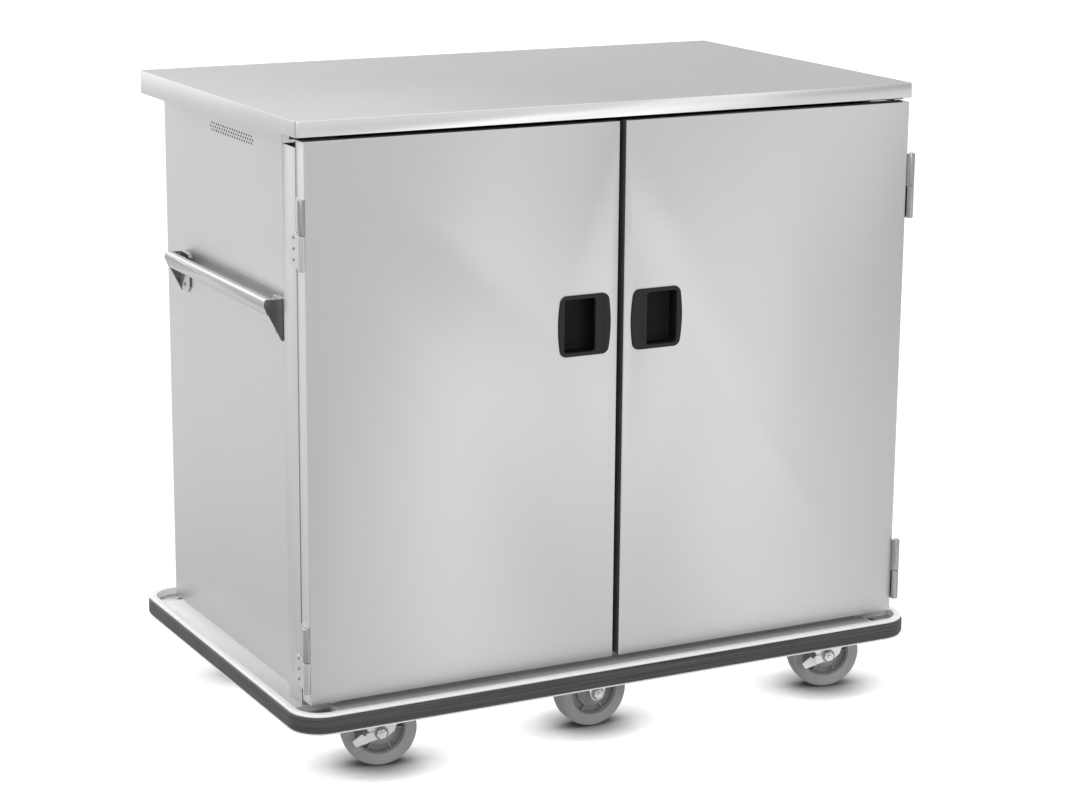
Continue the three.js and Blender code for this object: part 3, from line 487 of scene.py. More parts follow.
def build_base():
    outline, outward = base_path()
    back, nose = RAIL_FRONT + BUMPER_CLEARANCE, BUMPER_NOSE
    bumper = np.vstack([
        [[back, BUMPER_BOTTOM]],
        arc(-nose, BUMPER_BOTTOM + nose, nose, -90, 0, 6),
        arc(-nose, BUMPER_TOP - nose, nose, 0, 90, 6),
        [[back, BUMPER_TOP]],
    ])
    piece = make("bumper_strip", carried(bumper, outline, outward), BUMPER_RUBBER, "cabinet")
    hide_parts("bumper")
    # a web with a short lip below and a broad rounded one above
    rail = np.vstack([
        [[RAIL_BACK, RAIL_BOTTOM]],
        arc(-4.6, RAIL_BOTTOM + 1.6, 1.6, -90, 60, 5),
        [[RAIL_FRONT, RAIL_BOTTOM + 3.6], [RAIL_FRONT, RAIL_TOP - 6]],
        arc(-4.4, RAIL_TOP - 4.0, 2.0, -90, 0, 4),
        arc(-5.4, RAIL_TOP - 3.0, 3.0, 0, 90, 6),
        arc(RAIL_BACK + 1, RAIL_TOP - 1, 1.0, 90, 180, 4),
    ])
    piece = make("rail_ring", carried(rail, outline, outward), RAIL_METAL, "cabinet")
    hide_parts("bumper_rail")
    deck = softened("base_deck", DECK_METAL, 0.5, 1)
    # painted light: the gutter strip in front of the doors takes the paler copy of the deck's
    # metal
    second_finish(deck, LIT_GUTTER_METAL, lambda centre, _: (
        centre.y < GUTTER_START * MM and abs(centre.x) < PAN_START * MM
    ))
    # painted shade: the floors of the deck's corner pockets take the darker copy of its metal
    second_finish(deck, SHADED_RECESS_METAL, lambda centre, normal: (
        normal.z > 0.3 and centre.z < PAN_RIM * MM and abs(centre.x) > PAN_START * MM
    ))
    dress("base_frame", INNER_STEEL)


# ------------------------------------------------------------------ cabinet
# plates under the worktop's front corners, just above the doors' swing: they close the gap there,
# and their dark rubber is painted shade in it
SHADE_PLATE_NEAR, SHADE_PLATE_FAR, SHADE_PLATE_FRONT, SHADE_PLATE_SHEET = 585.0, 680.4, -371.0, 1.5
SHADE_PLATE_BOTTOM, SHADE_PLATE_TOP = 1269.2, 1304.2


def build_cabinet():
    # lit and shaded copies of one steel: the top dark, the front faces pale, the ends and back in
    # the side panels' steel
    top = softened("worktop", SHADED_TOP_STEEL, 0.7, 3)
    second_finish(top, LIT_SKIRT_STEEL, lambda _, normal: normal.y < -0.5)
    second_finish(top, SIDE_STEEL, lambda _, normal: normal.y > 0.5 or abs(normal.x) > 0.5)
    softened("front_frame", SIDE_STEEL, 0.6, 2)
    for side in ("left", "right"):
        handle = softened(f"{side}_push_handle", HANDLE_STEEL, 0.9, 3)
        # painted shade: end plates and faces turned towards the side panel take the dark copy
        second_finish(handle, SHADED_HANDLE_STEEL, lambda centre, normal: (
            abs(normal.y) > 0.8 or normal.x * centre.x < -0.5 * abs(centre.x)
        ))
        dress(f"{side}_side_panel", SIDE_STEEL)
        dress(f"{side}_outer_tray_rack", INNER_STEEL)
        dress(f"{side}_inner_tray_rack", INNER_STEEL)
        dress(f"{side}_magnetic_catch", ZINC)
    dress("back_panel", SIDE_STEEL)
    for node in ("floor_pan", "ceiling_pan", "centre_partition"):
        dress(node, INNER_STEEL)
    near, far, front, back = SHADE_PLATE_NEAR, SHADE_PLATE_FAR, SHADE_PLATE_FRONT, SHADE_PLATE_FRONT + SHADE_PLATE_SHEET
    plan = [(near, front), (far, front), (far, back), (near, back)]
    # painted shade: dark plates in the gap between worktop and doors
    both_sides("top_gap_shade_plate", prism(plan, SHADE_PLATE_BOTTOM, SHADE_PLATE_TOP), SEAL_AND_SHADE_RUBBER, "cabinet")


# ------------------------------------------------------------------ doors
PULL_X, _, PULL_Z = sum(box_mm("right_door_pull")) / 2
DOOR_FACE = box_mm("right_door_skin")[0][1]
GAP_SIDE = 20.0  # the doors' edges beside the gap between them lie within this X
PULL_LIP = DOOR_FACE + 4.5  # behind it the pull's cup takes a darker copy of its plastic, painted shade
BEZEL_FACE = DOOR_FACE - 2.8
RING_CORNER_POINTS, RING_SIDE_POINTS = 6, 9
SMALLEST_RADIUS = 0.4


def ring(low, high, half_height, radius, bow=0.0, inset=0.0):
    """A rectangle from low to high in x, with round corners and sides bowed out by
    bow * (1 - (z / half_height)^2), drawn in all round by inset."""
    centre, half = (low + high) / 2, (high - low) / 2 - bow - inset
    half_height = half_height - inset
    radius = max(radius - inset, SMALLEST_RADIUS)
    corner = np.linspace(0, math.pi / 2, RING_CORNER_POINTS)
    share = np.linspace(0, 1, RING_SIDE_POINTS + 2)[1:-1, None]
    points = []
    for quarter, (su, sv) in enumerate([(1, 1), (-1, 1), (-1, -1), (1, -1)]):
        turn = corner + quarter * math.pi / 2
        middle = np.array([su * (half - radius), sv * (half_height - radius)])
        points.append(middle + radius * np.column_stack([np.cos(turn), np.sin(turn)]))
    sides = []
    for quarter in range(4):
        start, end = points[quarter][-1], points[(quarter + 1) % 4][0]
        sides += [points[quarter], start + share * (end - start)]
    outline = np.vstack(sides)
    swell = bow * (1 - (outline[:, 1] / half_height) ** 2)
    outline[:, 0] += np.clip(outline[:, 0] / (half - radius), -1, 1) * swell + centre
    return outline


def stacked(loops):
    """Loops of (x, z) with their own y, skinned one after another and capped at both ends."""
    points = np.vstack([
        np.column_stack([loop[:, 0], np.broadcast_to(depth, len(loop)), loop[:, 1]])
        for loop, depth in loops
    ])
    count = len(loops[0][0])
    faces = [list(f) for f in grid_faces(len(loops), count, False, True)]
    last = (len(loops) - 1) * count
    faces += [list(range(count))[::-1], list(range(last, last + count))]
    return points, faces


BEZEL = dict(low=-58, high=58, half_height=61, radius=12, bow=6)
OPENING = dict(low=-23, high=45, half_height=53, radius=6)
CUP = dict(low=-45, high=45, half_height=53, radius=6)
SHELL = dict(low=-47, high=47, half_height=55, radius=8)
DISH_DEPTH, DISH_MIDDLE, DISH_WIDTH = 2.0, -37, 8.5
DISH_STEPS, DISH_END = 8, 0.94  # the dish still has a little depth at the opening


def pull_solid():
    """The right door's pull, from its back round the bezel into the cup. The bezel's face has
    a shallow dish, depth * exp(-((x - middle) / width)^2), in the grip plate by the door gap."""
    edge, mouth = ring(**BEZEL, inset=1.8), ring(**OPENING, inset=-1.6)
    loops = [
        (ring(**SHELL, inset=3), DOOR_FACE + 30), (ring(**SHELL, inset=0.6), DOOR_FACE + 29.4),
        (ring(**SHELL), DOOR_FACE + 27), (ring(**SHELL), DOOR_FACE - 0.3),
        (ring(**BEZEL, inset=0.4), DOOR_FACE - 0.35), (ring(**BEZEL), DOOR_FACE - 0.8),
        (ring(**BEZEL), DOOR_FACE - 1.6), (ring(**BEZEL, inset=0.5), DOOR_FACE - 2.4),
        (edge, BEZEL_FACE),
    ]
    for share in np.linspace(0, 1, DISH_STEPS + 1)[1:]:
        loop = edge + share * (mouth - edge)
        aside = (loop[:, 0] - DISH_MIDDLE) / DISH_WIDTH
        upward = loop[:, 1] / BEZEL["half_height"]
        dish = DISH_DEPTH * np.exp(-(aside ** 2)) * (1 - upward ** 4)
        loops.append((loop, BEZEL_FACE + dish * math.sin(math.pi * min(share, DISH_END))))
    loops += [
        (ring(**OPENING, inset=-0.4), BEZEL_FACE + 0.4), (ring(**OPENING), BEZEL_FACE + 1.4),
        (ring(**OPENING), DOOR_FACE + 4.2), (ring(**OPENING, inset=-0.3), DOOR_FACE + 4.8),
        (ring(**CUP), DOOR_FACE + 5.2), (ring(**CUP), DOOR_FACE + 23),
        (ring(**CUP, inset=1.2), DOOR_FACE + 26.4), (ring(**CUP, inset=4.5), DOOR_FACE + 27.8),
        (ring(**CUP, inset=20), DOOR_FACE + 28),
    ]
    return moved(stacked(loops), PULL_X, 0.0, PULL_Z)


def build_doors():
    pull = pull_solid()
    for side in ("left", "right"):
        skin = softened(f"{side}_door_skin", DOOR_STEEL, 0.8, 3)
        # painted shade: the door edges facing the gap between the doors are coloured dark
        second_finish(skin, GAP_EDGE_SHADE, lambda centre, normal: (
            abs(normal.x) > 0.8 and abs(centre.x) < GAP_SIDE * MM
        ))
        piece = make(f"{side}_pull_shell", pull if side == "right" else flipped(pull),
                     PULL_PLASTIC, f"{side}_door", smooth=40.0)
        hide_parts(f"{side}_door_pull")
        # painted shade: the cup behind the lip takes the darker copy
        second_finish(piece, PULL_CUP_SHADE, lambda centre, _: centre.y > PULL_LIP * MM)
        dress(f"{side}_door_liner", INNER_STEEL)
        dress(f"{side}_door_gasket", SEAL_AND_SHADE_RUBBER)
        dress(f"{side}_strike_plate", ZINC)


# ------------------------------------------------------------------ hinges
HINGE_X, HINGE_Y = 677.0, -414.0
KNUCKLE_RADIUS, KNUCKLE_STEPS = 7.2, 40
KNUCKLE_BEVEL = 0.4
LEAF_SHEET, LEAF_ROOT, LEAF_TRIM = 2.5, 2.0, 10.0
PIN_LEAF_X, DOOR_LEAF_X = 670.3, 669.3
UPPER_SPLIT, LOWER_SPLIT = 67.5, 62.5  # height of the pin half's knuckle, by hinge
MID_HEIGHT = 500.0
RIVET_X, RIVET_INSET, RIVET_HEIGHTS = 672.8, 20.0, (15.0, 36.0, 57.0)
RIVET_DOME = [[0, 1.9], [1.6, 1.6], [2.9, 0.8], [3.4, 0], [3.2, -0.4], [0, -0.4]]


def hinge_half(node, on_door):
    """A knuckle turned about the pin's axis and its leaf, a plate with clipped corners.
    The door's half is open below for the pin, which stands on the other half."""
    low, high = box_mm(node)
    right = high[0] > 0
    radius, front, back, bottom = KNUCKLE_RADIUS, HINGE_Y + LEAF_ROOT, high[1], low[2]
    if on_door:
        top, leaf_x = high[2], DOOR_LEAF_X
        barrel = [[4.6, bottom + 0.6], [5.2, bottom], [radius - 0.8, bottom],
                  [radius, bottom + 0.8], [radius, top - 2.2], [radius - 0.7, top - 0.7],
                  [radius - 2.2, top], [4.6, top - 0.4], [4.6, bottom + 0.6]]
        cap = [[0, top - 2.0], [4.7, top - 2.0], [4.7, top - 0.4], [0, top - 0.4]]
        profiles = [barrel, cap]
        outline = [[front, bottom], [back, bottom], [back, top - 2], [front, top - 2]]
    else:
        top, leaf_x = bottom + (UPPER_SPLIT if bottom > MID_HEIGHT else LOWER_SPLIT), PIN_LEAF_X
        profiles = [[[0, bottom + 0.5], [radius - 2.2, bottom], [radius - 0.7, bottom + 0.7],
                     [radius, bottom + 2.2], [radius, top - 0.8], [radius - 0.8, top],
                     [4.0, top], [4.0, high[2] - 1.5], [2.5, high[2]], [0, high[2]]]]
        outline = [[front, bottom], [back - 3, bottom], [back, bottom + 3],
                   [back, top - LEAF_TRIM], [back - LEAF_TRIM, top], [front, top]]
    knuckle = joined([moved(turned(p, KNUCKLE_STEPS), HINGE_X, HINGE_Y) for p in profiles])
    leaf = along("x", prism(outline, leaf_x, leaf_x + LEAF_SHEET))
    # painted shade: the doors' knuckles and every right-hand knuckle take the darker copy, the
    # left pin halves keep the leaves' steel
    barrel_steel = SHADED_KNUCKLE_STEEL if on_door or right else LEAF_STEEL
    for part, solid, steel in (("knuckle", knuckle, barrel_steel), ("leaf", leaf, LEAF_STEEL)):
        piece = make(f"{node}_{part}", solid if right else flipped(solid), steel,
                     BODY_OF[node], KNUCKLE_BEVEL)
        if part == "knuckle":
            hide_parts(node)


def build_hinges():
    for side in ("left", "right"):
        for level in ("upper", "lower"):
            node = f"{side}_{level}_hinge_pin_half"
            hinge_half(node, False)
            hinge_half(f"{side}_{level}_hinge_door_half", True)
            low, high = box_mm(node)
            dome = along("x", turned(RIVET_DOME, 20))
            heads = joined([moved(dome, RIVET_X, high[1] - RIVET_INSET, low[2] + height)
                            for height in RIVET_HEIGHTS])
            # painted shade: the rivet heads take the darker steel
            make(f"{side}_{level}_hinge_rivets", heads if side == "right" else flipped(heads),
                 RIVET_METAL, "cabinet", smooth=50.0)


# ------------------------------------------------------------------ casters
WHEEL_RADIUS = 76.2
TRAIL = 43.0
SWIVEL_YAW = -14.0
SWIVEL_CASTERS = {
    "front_left": (-525.0, -301.0), "front_right": (525.0, -301.0),
    "back_left": (-525.0, 301.0), "back_right": (525.0, 301.0),
}
MIDDLE_CASTERS = {"front_middle": (0.0, -301.0), "back_middle": (0.0, 301.0)}
FORK_INSIDE, FORK_SHEET = 31.5, 5.0
FORK_OUTSIDE = FORK_INSIDE + FORK_SHEET
FORK_SKIRT = 14.0
LEG_END_RADIUS, LEG_END_STEPS = 16.0, 24
PEDAL_EYE = 4.2  # the brake pedal's eye lies between leg and washer on one side
YOKE_BOTTOM, YOKE_TOP, YOKE_OFFSET = 157.0, 162.5, 11.0
CROWN = [[0, 160.5], [38.5, 160.5], [40, 162], [40, 166.5], [37, 170.5],
         [33, 174.5], [31, 175.6], [0, 175.6]]
PLATE_BOTTOM, PLATE_TOP, MIDDLE_LEG_TOP = 184.5, 190.5, 187.5
TREAD = [[50.2, 20.6], [50.8, 22.6], [52.4, 23.4], [55.0, 23.2], [66.0, 23.9], [70.5, 23.4],
         [73.8, 20.8], [75.6, 15.5], [76.2, 8.0], [76.2, 2.5]]
CORE = [[6.4, 29.5], [7.2, 30.0], [12.2, 30.0], [13.0, 29.2], [13.8, 24.0], [20.0, 22.4],
        [21.0, 19.6], [27.0, 18.8], [28.0, 16.2], [33.5, 15.4], [35.0, 13.8], [36.0, 7.0],
        [45.0, 6.2], [47.2, 8.0], [48.2, 17.5], [50.1, 20.4]]
RIB = [[-1.8, 33.0], [1.8, 33.0], [1.4, 49.0], [-1.4, 49.0]]
RIB_COUNT, RIB_SPANS = 6, ((5.5, 14.5), (-14.5, -5.5))
FORK_BEVEL = 0.7


def mirrored_profile(half):
    """Adds the other side of a wheel's section, (radius, half width) to (radius, -half width)."""
    half = np.array(half, float)
    other = half[::-1] * np.array([1.0, -1.0])
    return np.vstack([half, other, half[:1]])


def wheel_solids():
    """Tread with round shoulders, and a core with a stepped hub, a deep groove and ribs."""
    ribs = [moved(prism(RIB, low, high), yaw=turn * 360.0 / RIB_COUNT)
            for turn in range(RIB_COUNT) for low, high in RIB_SPANS]
    tread = turned(mirrored_profile(TREAD), 96)
    core = joined([turned(mirrored_profile(CORE), 72), *ribs])
    return along("y", tread), along("y", core)


def leg_outline(left, right):
    """A fork leg from the side: down the left points, round the axle, up the right points.
    A straight side touches the round end where its angle differs by acos(radius / distance)."""
    radius = LEG_END_RADIUS

    def touch(point, turn):
        return math.atan2(point[1], point[0]) + turn * math.acos(radius / math.hypot(*point))

    angle = np.linspace(touch(left[-1], 1), touch(right[0], -1) + 2 * math.pi, LEG_END_STEPS)
    round_end = np.column_stack([radius * np.cos(angle), radius * np.sin(angle)])
    return np.vstack([left, round_end, right])


def facing(solid):
    """Stands a solid drawn in (x, z) with its thickness along Y: (u, v, w) to (u, w, v)."""
    points, faces = solid
    return points[:, [0, 2, 1]], [f[::-1] for f in faces]


def hexagon(radius):
    """A hexagon's corners, a little turned, as a tightened bolt stands."""
    angle = np.radians(np.arange(6) * 60.0 + 15.0)
    return np.column_stack([radius * np.cos(angle), radius * np.sin(angle)])


def at_fork_sides(solid, near, far):
    """The same solid on both sides of a fork, its Z pointing away from the wheel."""
    points, faces = solid
    return [
        (points[:, [0, 2, 1]] * np.array([1.0, sign, 1.0]) + np.array([0.0, place, 0.0]), faces)
        for place, sign in ((near, -1.0), (far, 1.0))
    ]


def axle_solids(near, far):
    """Hexagon head with a turned-down top, and the bolt's end, at each side of a fork."""
    head = joined([prism(hexagon(10.8), 1.5, 7.4), turned(
        [[0, 7.2], [8.6, 7.2], [8.0, 8.0], [0, 8.0]], 24)])
    stub = turned([[0, 8.0], [5.5, 8.0], [5.5, 11.0], [4.6, 12.0], [0, 12.0]], 24)
    return at_fork_sides(head, near, far) + at_fork_sides(stub, near, far)


def washer_solids(near, far):
    """A dark spring washer under each hexagon head."""
    washer = turned([[0, 0], [14.0, 0], [14.0, 1.2], [13.4, 1.8], [0, 1.8]], 32)
    return at_fork_sides(washer, near, far)


def build_caster(name, body, wheel, leg, near, top_solids, axle_place, place):
    """Fork with its axle, washers, tread and core. What is about the axle is moved first by
    axle_place and then, as the fork's top, by place."""
    tread, core = wheel

    def at_axle(solid):
        return moved(moved(solid, **axle_place), **place)

    legs = [facing(prism(leg, low, low + FORK_SHEET)) for low in (-FORK_OUTSIDE, FORK_INSIDE)]
    solid = joined([
        *[at_axle(s) for s in [*legs, *axle_solids(near, FORK_OUTSIDE)]],
        *[moved(s, **place) for s in top_solids],
    ])
    piece = make(f"{name}_fork_and_axle", solid, ZINC, body, FORK_BEVEL)
    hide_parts(f"{name}_fork")
    washers = joined([at_axle(s) for s in washer_solids(near, FORK_OUTSIDE)])
    make(f"{name}_axle_washers", washers, RIVET_METAL, body)
    piece = make(f"{name}_tread", at_axle(tread), TYRE_RUBBER, f"{name}_rolling_wheel")
    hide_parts(f"{name}_wheel")
    make(f"{name}_core", at_axle(core), CORE_PLASTIC, f"{name}_rolling_wheel", smooth=25.0)


def build_casters():
    wheel = wheel_solids()
    top = YOKE_TOP - WHEEL_RADIUS
    leg = leg_outline(
        [[-30 - TRAIL, top], [-30 - TRAIL, top - FORK_SKIRT], [-31, 13], [-26, 3]],
        [[27, 1], [31, 13], [44, 29], [9, top - FORK_SKIRT], [9, top]],
    )
    yoke = prism(rounded_bar(41.0, FORK_OUTSIDE, 6.0), YOKE_BOTTOM, YOKE_TOP)
    tops = [turned(CROWN, 48), moved(yoke, x=YOKE_OFFSET)]
    for name, (x, y) in SWIVEL_CASTERS.items():
        build_caster(name, f"{name}_swivel", wheel, leg, -FORK_OUTSIDE - PEDAL_EYE, tops,
                     dict(x=TRAIL, z=WHEEL_RADIUS), dict(x=x, y=y, yaw=SWIVEL_YAW))
        softened(f"{name}_brake_pedal", ZINC, 0.6, 2)
        dress(f"{name}_caster_plate", ZINC)
    top = MIDDLE_LEG_TOP - WHEEL_RADIUS
    leg = leg_outline([[-42, top], [-42, top - FORK_SKIRT]], [[42, top - FORK_SKIRT], [42, top]])
    plate = prism(rounded_bar(57.0, 45.0, 7.0), PLATE_BOTTOM, PLATE_TOP)
    for name, (x, y) in MIDDLE_CASTERS.items():
        build_caster(name, "cabinet", wheel, leg, -FORK_OUTSIDE, [plate],
                     dict(z=WHEEL_RADIUS), dict(x=x, y=y))


# ------------------------------------------------------------------ fasteners
HANDLE_BOLT_X, HANDLE_BOLT_Y, HANDLE_BOLT_Z = 646.3, (285.0, -213.0), (929.0, 876.0)
DECK_BOLT_X, DECK_BOLT_Y, DECK_BOLT_Z = (-636.0, 636.0), (-392.0, 394.0), 157.5
PLATE_BOLT_X, PLATE_BOLT_Y = (-44.0, 44.0), (-34.0, 34.0)
NUT_RADIUS, NUT_SPAN = 8.5, (179.6, 184.4)
SHANK_RADIUS, SHANK_SPAN = 5.0, (184.0, 189.0)
NECK = 0.4
NUT_BEVEL = 0.5


def dome_head(radius, height):
    """A round head: radius * cos, height * sin over a quarter turn, on a short neck."""
    angle = np.linspace(0, math.pi / 2, 5)[::-1]
    cap = np.column_stack([radius * np.cos(angle), height * np.sin(angle)])
    cap[0] = [0.0, height]
    return turned(np.vstack([cap, [[radius, -NECK], [0.0, -NECK]]]), 20)


def build_fasteners():
    dome = along("x", dome_head(4.6, 2.6))
    heads = joined([moved(dome, HANDLE_BOLT_X, y, z)
                    for y in HANDLE_BOLT_Y for z in HANDLE_BOLT_Z])
    both_sides("handle_bolts", heads, RIVET_METAL, "cabinet", smooth=50.0)
    heads = joined([moved(dome_head(6.0, 3.2), x, y, DECK_BOLT_Z)
                    for x in DECK_BOLT_X for y in DECK_BOLT_Y])
    make("deck_bolts", heads, RIVET_METAL, "cabinet", smooth=50.0)
    nut = prism(hexagon(NUT_RADIUS), *NUT_SPAN)
    shank = prism(hexagon(SHANK_RADIUS), *SHANK_SPAN)
    bolts = [
        moved(solid, x + aside, y + ahead)
        for x, y in [*SWIVEL_CASTERS.values(), *MIDDLE_CASTERS.values()]
        for aside in PLATE_BOLT_X for ahead in PLATE_BOLT_Y for solid in (nut, shank)
    ]
    make("caster_plate_bolts", joined(bolts), ZINC, "cabinet", NUT_BEVEL, 1)


# ------------------------------------------------------------------ studio
# Brightness of what polished sheet mirrors, as (place from 0 to 1, level). The wall's bands go
# by the X part of a direction and its rise by the Z part; the floor's stripes go by the
# distance along STRIPE_AXIS, and its band by the distance from the cart.
FRONT_BAND = [(0.0, 0.70), (0.25, 0.90), (0.62, 0.82), (0.69, 0.82), (0.715, 1.14), (0.735, 1.06),
              (0.75, 0.84), (0.77, 0.60), (0.79, 0.42), (0.82, 0.46), (0.88, 0.80), (1.0, 0.72)]
BACK_BAND = [(0.0, 0.70), (0.30, 0.90), (0.36, 1.60), (0.50, 1.90), (0.58, 0.95), (0.62, 0.90),
             (0.70, 0.84), (0.75, 0.80), (0.82, 0.86), (1.0, 0.70)]
FRONT_RISE = 0.88
BACK_RISE = [(0.0, 0.86), (0.50, 0.86), (0.56, 0.95), (0.67, 0.95), (0.73, 1.9), (0.86, 1.9),
             (0.94, 0.6), (1.0, 0.6)]
SIDES_BLEND = 1.2  # how steeply the wall in front goes over into the wall behind
FLOOR_STRIPES = [(0.0, 0.66), (0.21, 0.68), (0.29, 0.98), (0.37, 1.22), (0.49, 0.98), (0.58, 1.24),
                 (0.67, 1.00), (0.74, 0.78), (0.85, 0.70), (1.0, 0.70)]
STRIPE_AXIS, STRIPE_REACH = (0.875, 0.485, 0.0), 3.2
FLOOR_BEHIND = 0.85
FLOOR_BAND = [(0.0, 0.66), (0.12, 0.74), (0.36, 1.0), (0.7, 0.97), (1.0, 0.90)]
FLOOR_BAND_REACH = 8.0
FLOOR_RADIUS, FLOOR_SIDES = 14.0, 96
FLOOR_GREY, FLOOR_WHITE = 0.75, 1.35
SHADOW_REACH, SHADOW_POWER, SHADOW_SAMPLES = 0.105, 3.5, 16
DIFFUSE_SHARE = 0.2  # of the plain floor in what the camera sees
WALL_GREY = 0.80
LAMPS = [
    ("key", (-3.4, -3.6, 3.6), 2.2, 40.0),
    ("fill", (4.2, -3.6, 2.8), 2.2, 16.0),
    ("above", (0.0, 0.2, 4.4), 3.2, 34.0),
]
LAMP_TARGET = (0.0, 0.0, 0.7)


def plain_grey(level):
    return (level, level, level, 1.0)


def level_ramp(nodes, links, factor, levels):
    """Grey levels at places from 0 to 1, eased from one to the next."""
    ramp = nodes.new("ShaderNodeValToRGB")
    ramp.color_ramp.interpolation = "EASE"
    elements = ramp.color_ramp.elements
    elements.remove(elements[-1])
    elements[0].color = plain_grey(levels[0][1])
    for position, level in levels[1:]:
        elements.new(position).color = plain_grey(level)
    links.new(factor, ramp.inputs["Fac"])
    return ramp.outputs["Color"]


def halved(nodes, links, value, sharpness=0.5):
    """Maps a direction's part from -1..1 to 0..1, or more steeply about its middle."""
    return calculated(nodes, links, "MULTIPLY_ADD", value, sharpness, 0.5, clamp=True)


def of_vectors(nodes, links, operation, *values):
    """A step of arithmetic on vectors or colours, plain or from other nodes."""
    node = nodes.new("ShaderNodeVectorMath")
    node.operation = operation
    for place, value in enumerate(values):
        if isinstance(value, tuple):
            node.inputs[place].default_value = value
        else:
            links.new(value, node.inputs[place])
    return node.outputs


def mixed_colour(nodes, links, factor, first, second):
    """Goes from the first colour to the second; each is plain or from another node."""
    blend = nodes.new("ShaderNodeMix")
    blend.data_type = "RGBA"
    for socket, colour in (("A", first), ("B", second)):
        if isinstance(colour, tuple):
            blend.inputs[socket].default_value = colour
        else:
            links.new(colour, blend.inputs[socket])
    links.new(factor, blend.inputs["Factor"])
    return blend.outputs["Result"]


def parts_of(nodes, links, vector):
    split = nodes.new("ShaderNodeSeparateXYZ")
    links.new(vector, split.inputs[0])
    return split.outputs


def wall_mirrored(nodes, links, direction):
    """What sheet mirrors of the studio's wall in a direction."""
    parts = parts_of(nodes, links, direction)
    across = halved(nodes, links, parts["X"])
    behind = halved(nodes, links, parts["Y"], SIDES_BLEND)
    band = mixed_colour(nodes, links, behind, level_ramp(nodes, links, across, FRONT_BAND),
                        level_ramp(nodes, links, across, BACK_BAND))
    rise = level_ramp(nodes, links, halved(nodes, links, parts["Z"]), BACK_RISE)
    rise = mixed_colour(nodes, links, behind, plain_grey(FRONT_RISE), rise)
    return of_vectors(nodes, links, "MULTIPLY", band, rise)["Vector"]


def floor_mirrored(nodes, links, place):
    """What sheet mirrors of the floor at a place: stripes in front of the cart, plain grey
    behind it, both dimmer near the cart."""
    aside = of_vectors(nodes, links, "DOT_PRODUCT", place, STRIPE_AXIS)["Value"]
    stripes = level_ramp(nodes, links, halved(nodes, links, aside, 1 / STRIPE_REACH),
                         FLOOR_STRIPES)
    behind = halved(nodes, links, parts_of(nodes, links, place)["Y"], 1.0)
    band = mixed_colour(nodes, links, behind, stripes, plain_grey(FLOOR_BEHIND))
    distance = of_vectors(nodes, links, "LENGTH", place)["Value"]
    distance = calculated(nodes, links, "DIVIDE", distance, FLOOR_BAND_REACH, clamp=True)
    dimmed = level_ramp(nodes, links, distance, FLOOR_BAND)
    glow = nodes.new("ShaderNodeEmission")
    links.new(of_vectors(nodes, links, "MULTIPLY", band, dimmed)["Vector"], glow.inputs["Color"])
    return glow.outputs["Emission"]


def mixed_shader(nodes, links, factor, first, second):
    surface = nodes.new("ShaderNodeMixShader")
    if isinstance(factor, float):
        surface.inputs[0].default_value = factor
    else:
        links.new(factor, surface.inputs[0])
    links.new(first, surface.inputs[1])
    links.new(second, surface.inputs[2])
    return surface.outputs["Shader"]


def floor_seen(nodes, links, diffuse):
    """White with the cart's soft shadow, and a little of the lamps' own shadow."""
    contact = nodes.new("ShaderNodeAmbientOcclusion")
    contact.samples = SHADOW_SAMPLES
    contact.inputs["Distance"].default_value = SHADOW_REACH
    openness = calculated(nodes, links, "POWER", contact.outputs["AO"], SHADOW_POWER)
    white = nodes.new("ShaderNodeEmission")
    links.new(mixed_colour(nodes, links, openness, plain_grey(0.0), plain_grey(FLOOR_WHITE)),
              white.inputs["Color"])
    return mixed_shader(nodes, links, DIFFUSE_SHARE, white.outputs["Emission"], diffuse)


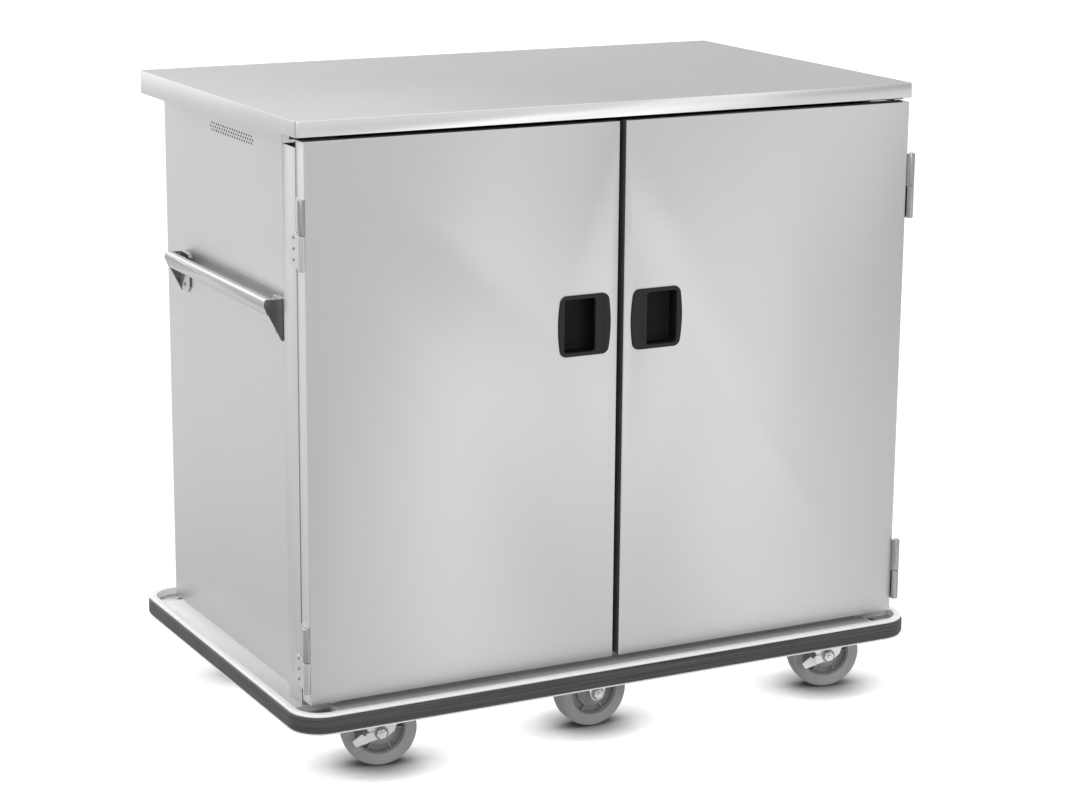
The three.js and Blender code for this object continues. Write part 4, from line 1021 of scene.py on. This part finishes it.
def build_floor():
    """A wide pale disc. The camera sees it white with the cart's shadow, polished sheet mirrors
    stripes in it, and other rays see plain pale grey."""
    angle = np.linspace(0, 2 * math.pi, FLOOR_SIDES, endpoint=False)
    points = FLOOR_RADIUS * np.column_stack([np.cos(angle), np.sin(angle), np.zeros(FLOOR_SIDES)])
    mesh = bpy.data.meshes.new("floor")
    mesh.from_pydata(points.tolist(), [], [list(range(FLOOR_SIDES))])
    floor = bpy.data.objects.new("floor", mesh)
    bpy.context.scene.collection.objects.link(floor)
    material, nodes, links = new_material("pale_floor")
    nodes.remove(nodes["Principled BSDF"])
    plain = nodes.new("ShaderNodeBsdfDiffuse")
    plain.inputs["Color"].default_value = plain_grey(FLOOR_GREY)
    diffuse = plain.outputs["BSDF"]
    rays = nodes.new("ShaderNodeLightPath").outputs
    place = nodes.new("ShaderNodeTexCoord").outputs["Object"]
    surface = mixed_shader(nodes, links, rays["Is Camera Ray"], diffuse,
                           floor_seen(nodes, links, diffuse))
    surface = mixed_shader(nodes, links, rays["Is Glossy Ray"], surface,
                           floor_mirrored(nodes, links, place))
    links.new(surface, nodes["Material Output"].inputs["Surface"])
    mesh.materials.append(material)


def build_lights():
    """White behind the cart for the camera, the wall's bands for polished sheet, plain grey
    for other rays, and three lamps."""
    world = bpy.data.worlds.new("studio")
    bpy.context.scene.world = world
    world.use_nodes = True
    nodes, links = world.node_tree.nodes, world.node_tree.links
    rays = nodes.new("ShaderNodeLightPath").outputs
    direction = nodes.new("ShaderNodeTexCoord").outputs["Generated"]
    lit = mixed_colour(nodes, links, rays["Is Glossy Ray"], plain_grey(WALL_GREY),
                       wall_mirrored(nodes, links, direction))
    seen = mixed_colour(nodes, links, rays["Is Camera Ray"], lit, plain_grey(1.0))
    links.new(seen, nodes["Background"].inputs["Color"])
    for name, place, size, watts in LAMPS:
        data = bpy.data.lights.new(name, "AREA")
        data.size = size
        data.energy = watts
        lamp = bpy.data.objects.new(name, data)
        bpy.context.scene.collection.objects.link(lamp)
        lamp.location = place
        lamp.rotation_mode = "QUATERNION"
        to_cart = Vector(LAMP_TARGET) - Vector(place)
        lamp.rotation_quaternion = to_cart.to_track_quat("-Z", "Y")
        lamp.visible_camera = False
        lamp.visible_glossy = name != "fill"


bpy.context.scene.view_settings.view_transform = "Standard"
aim_camera()
build_lights()
build_floor()
build_base()
build_cabinet()
build_doors()
build_hinges()
build_casters()
build_fasteners()
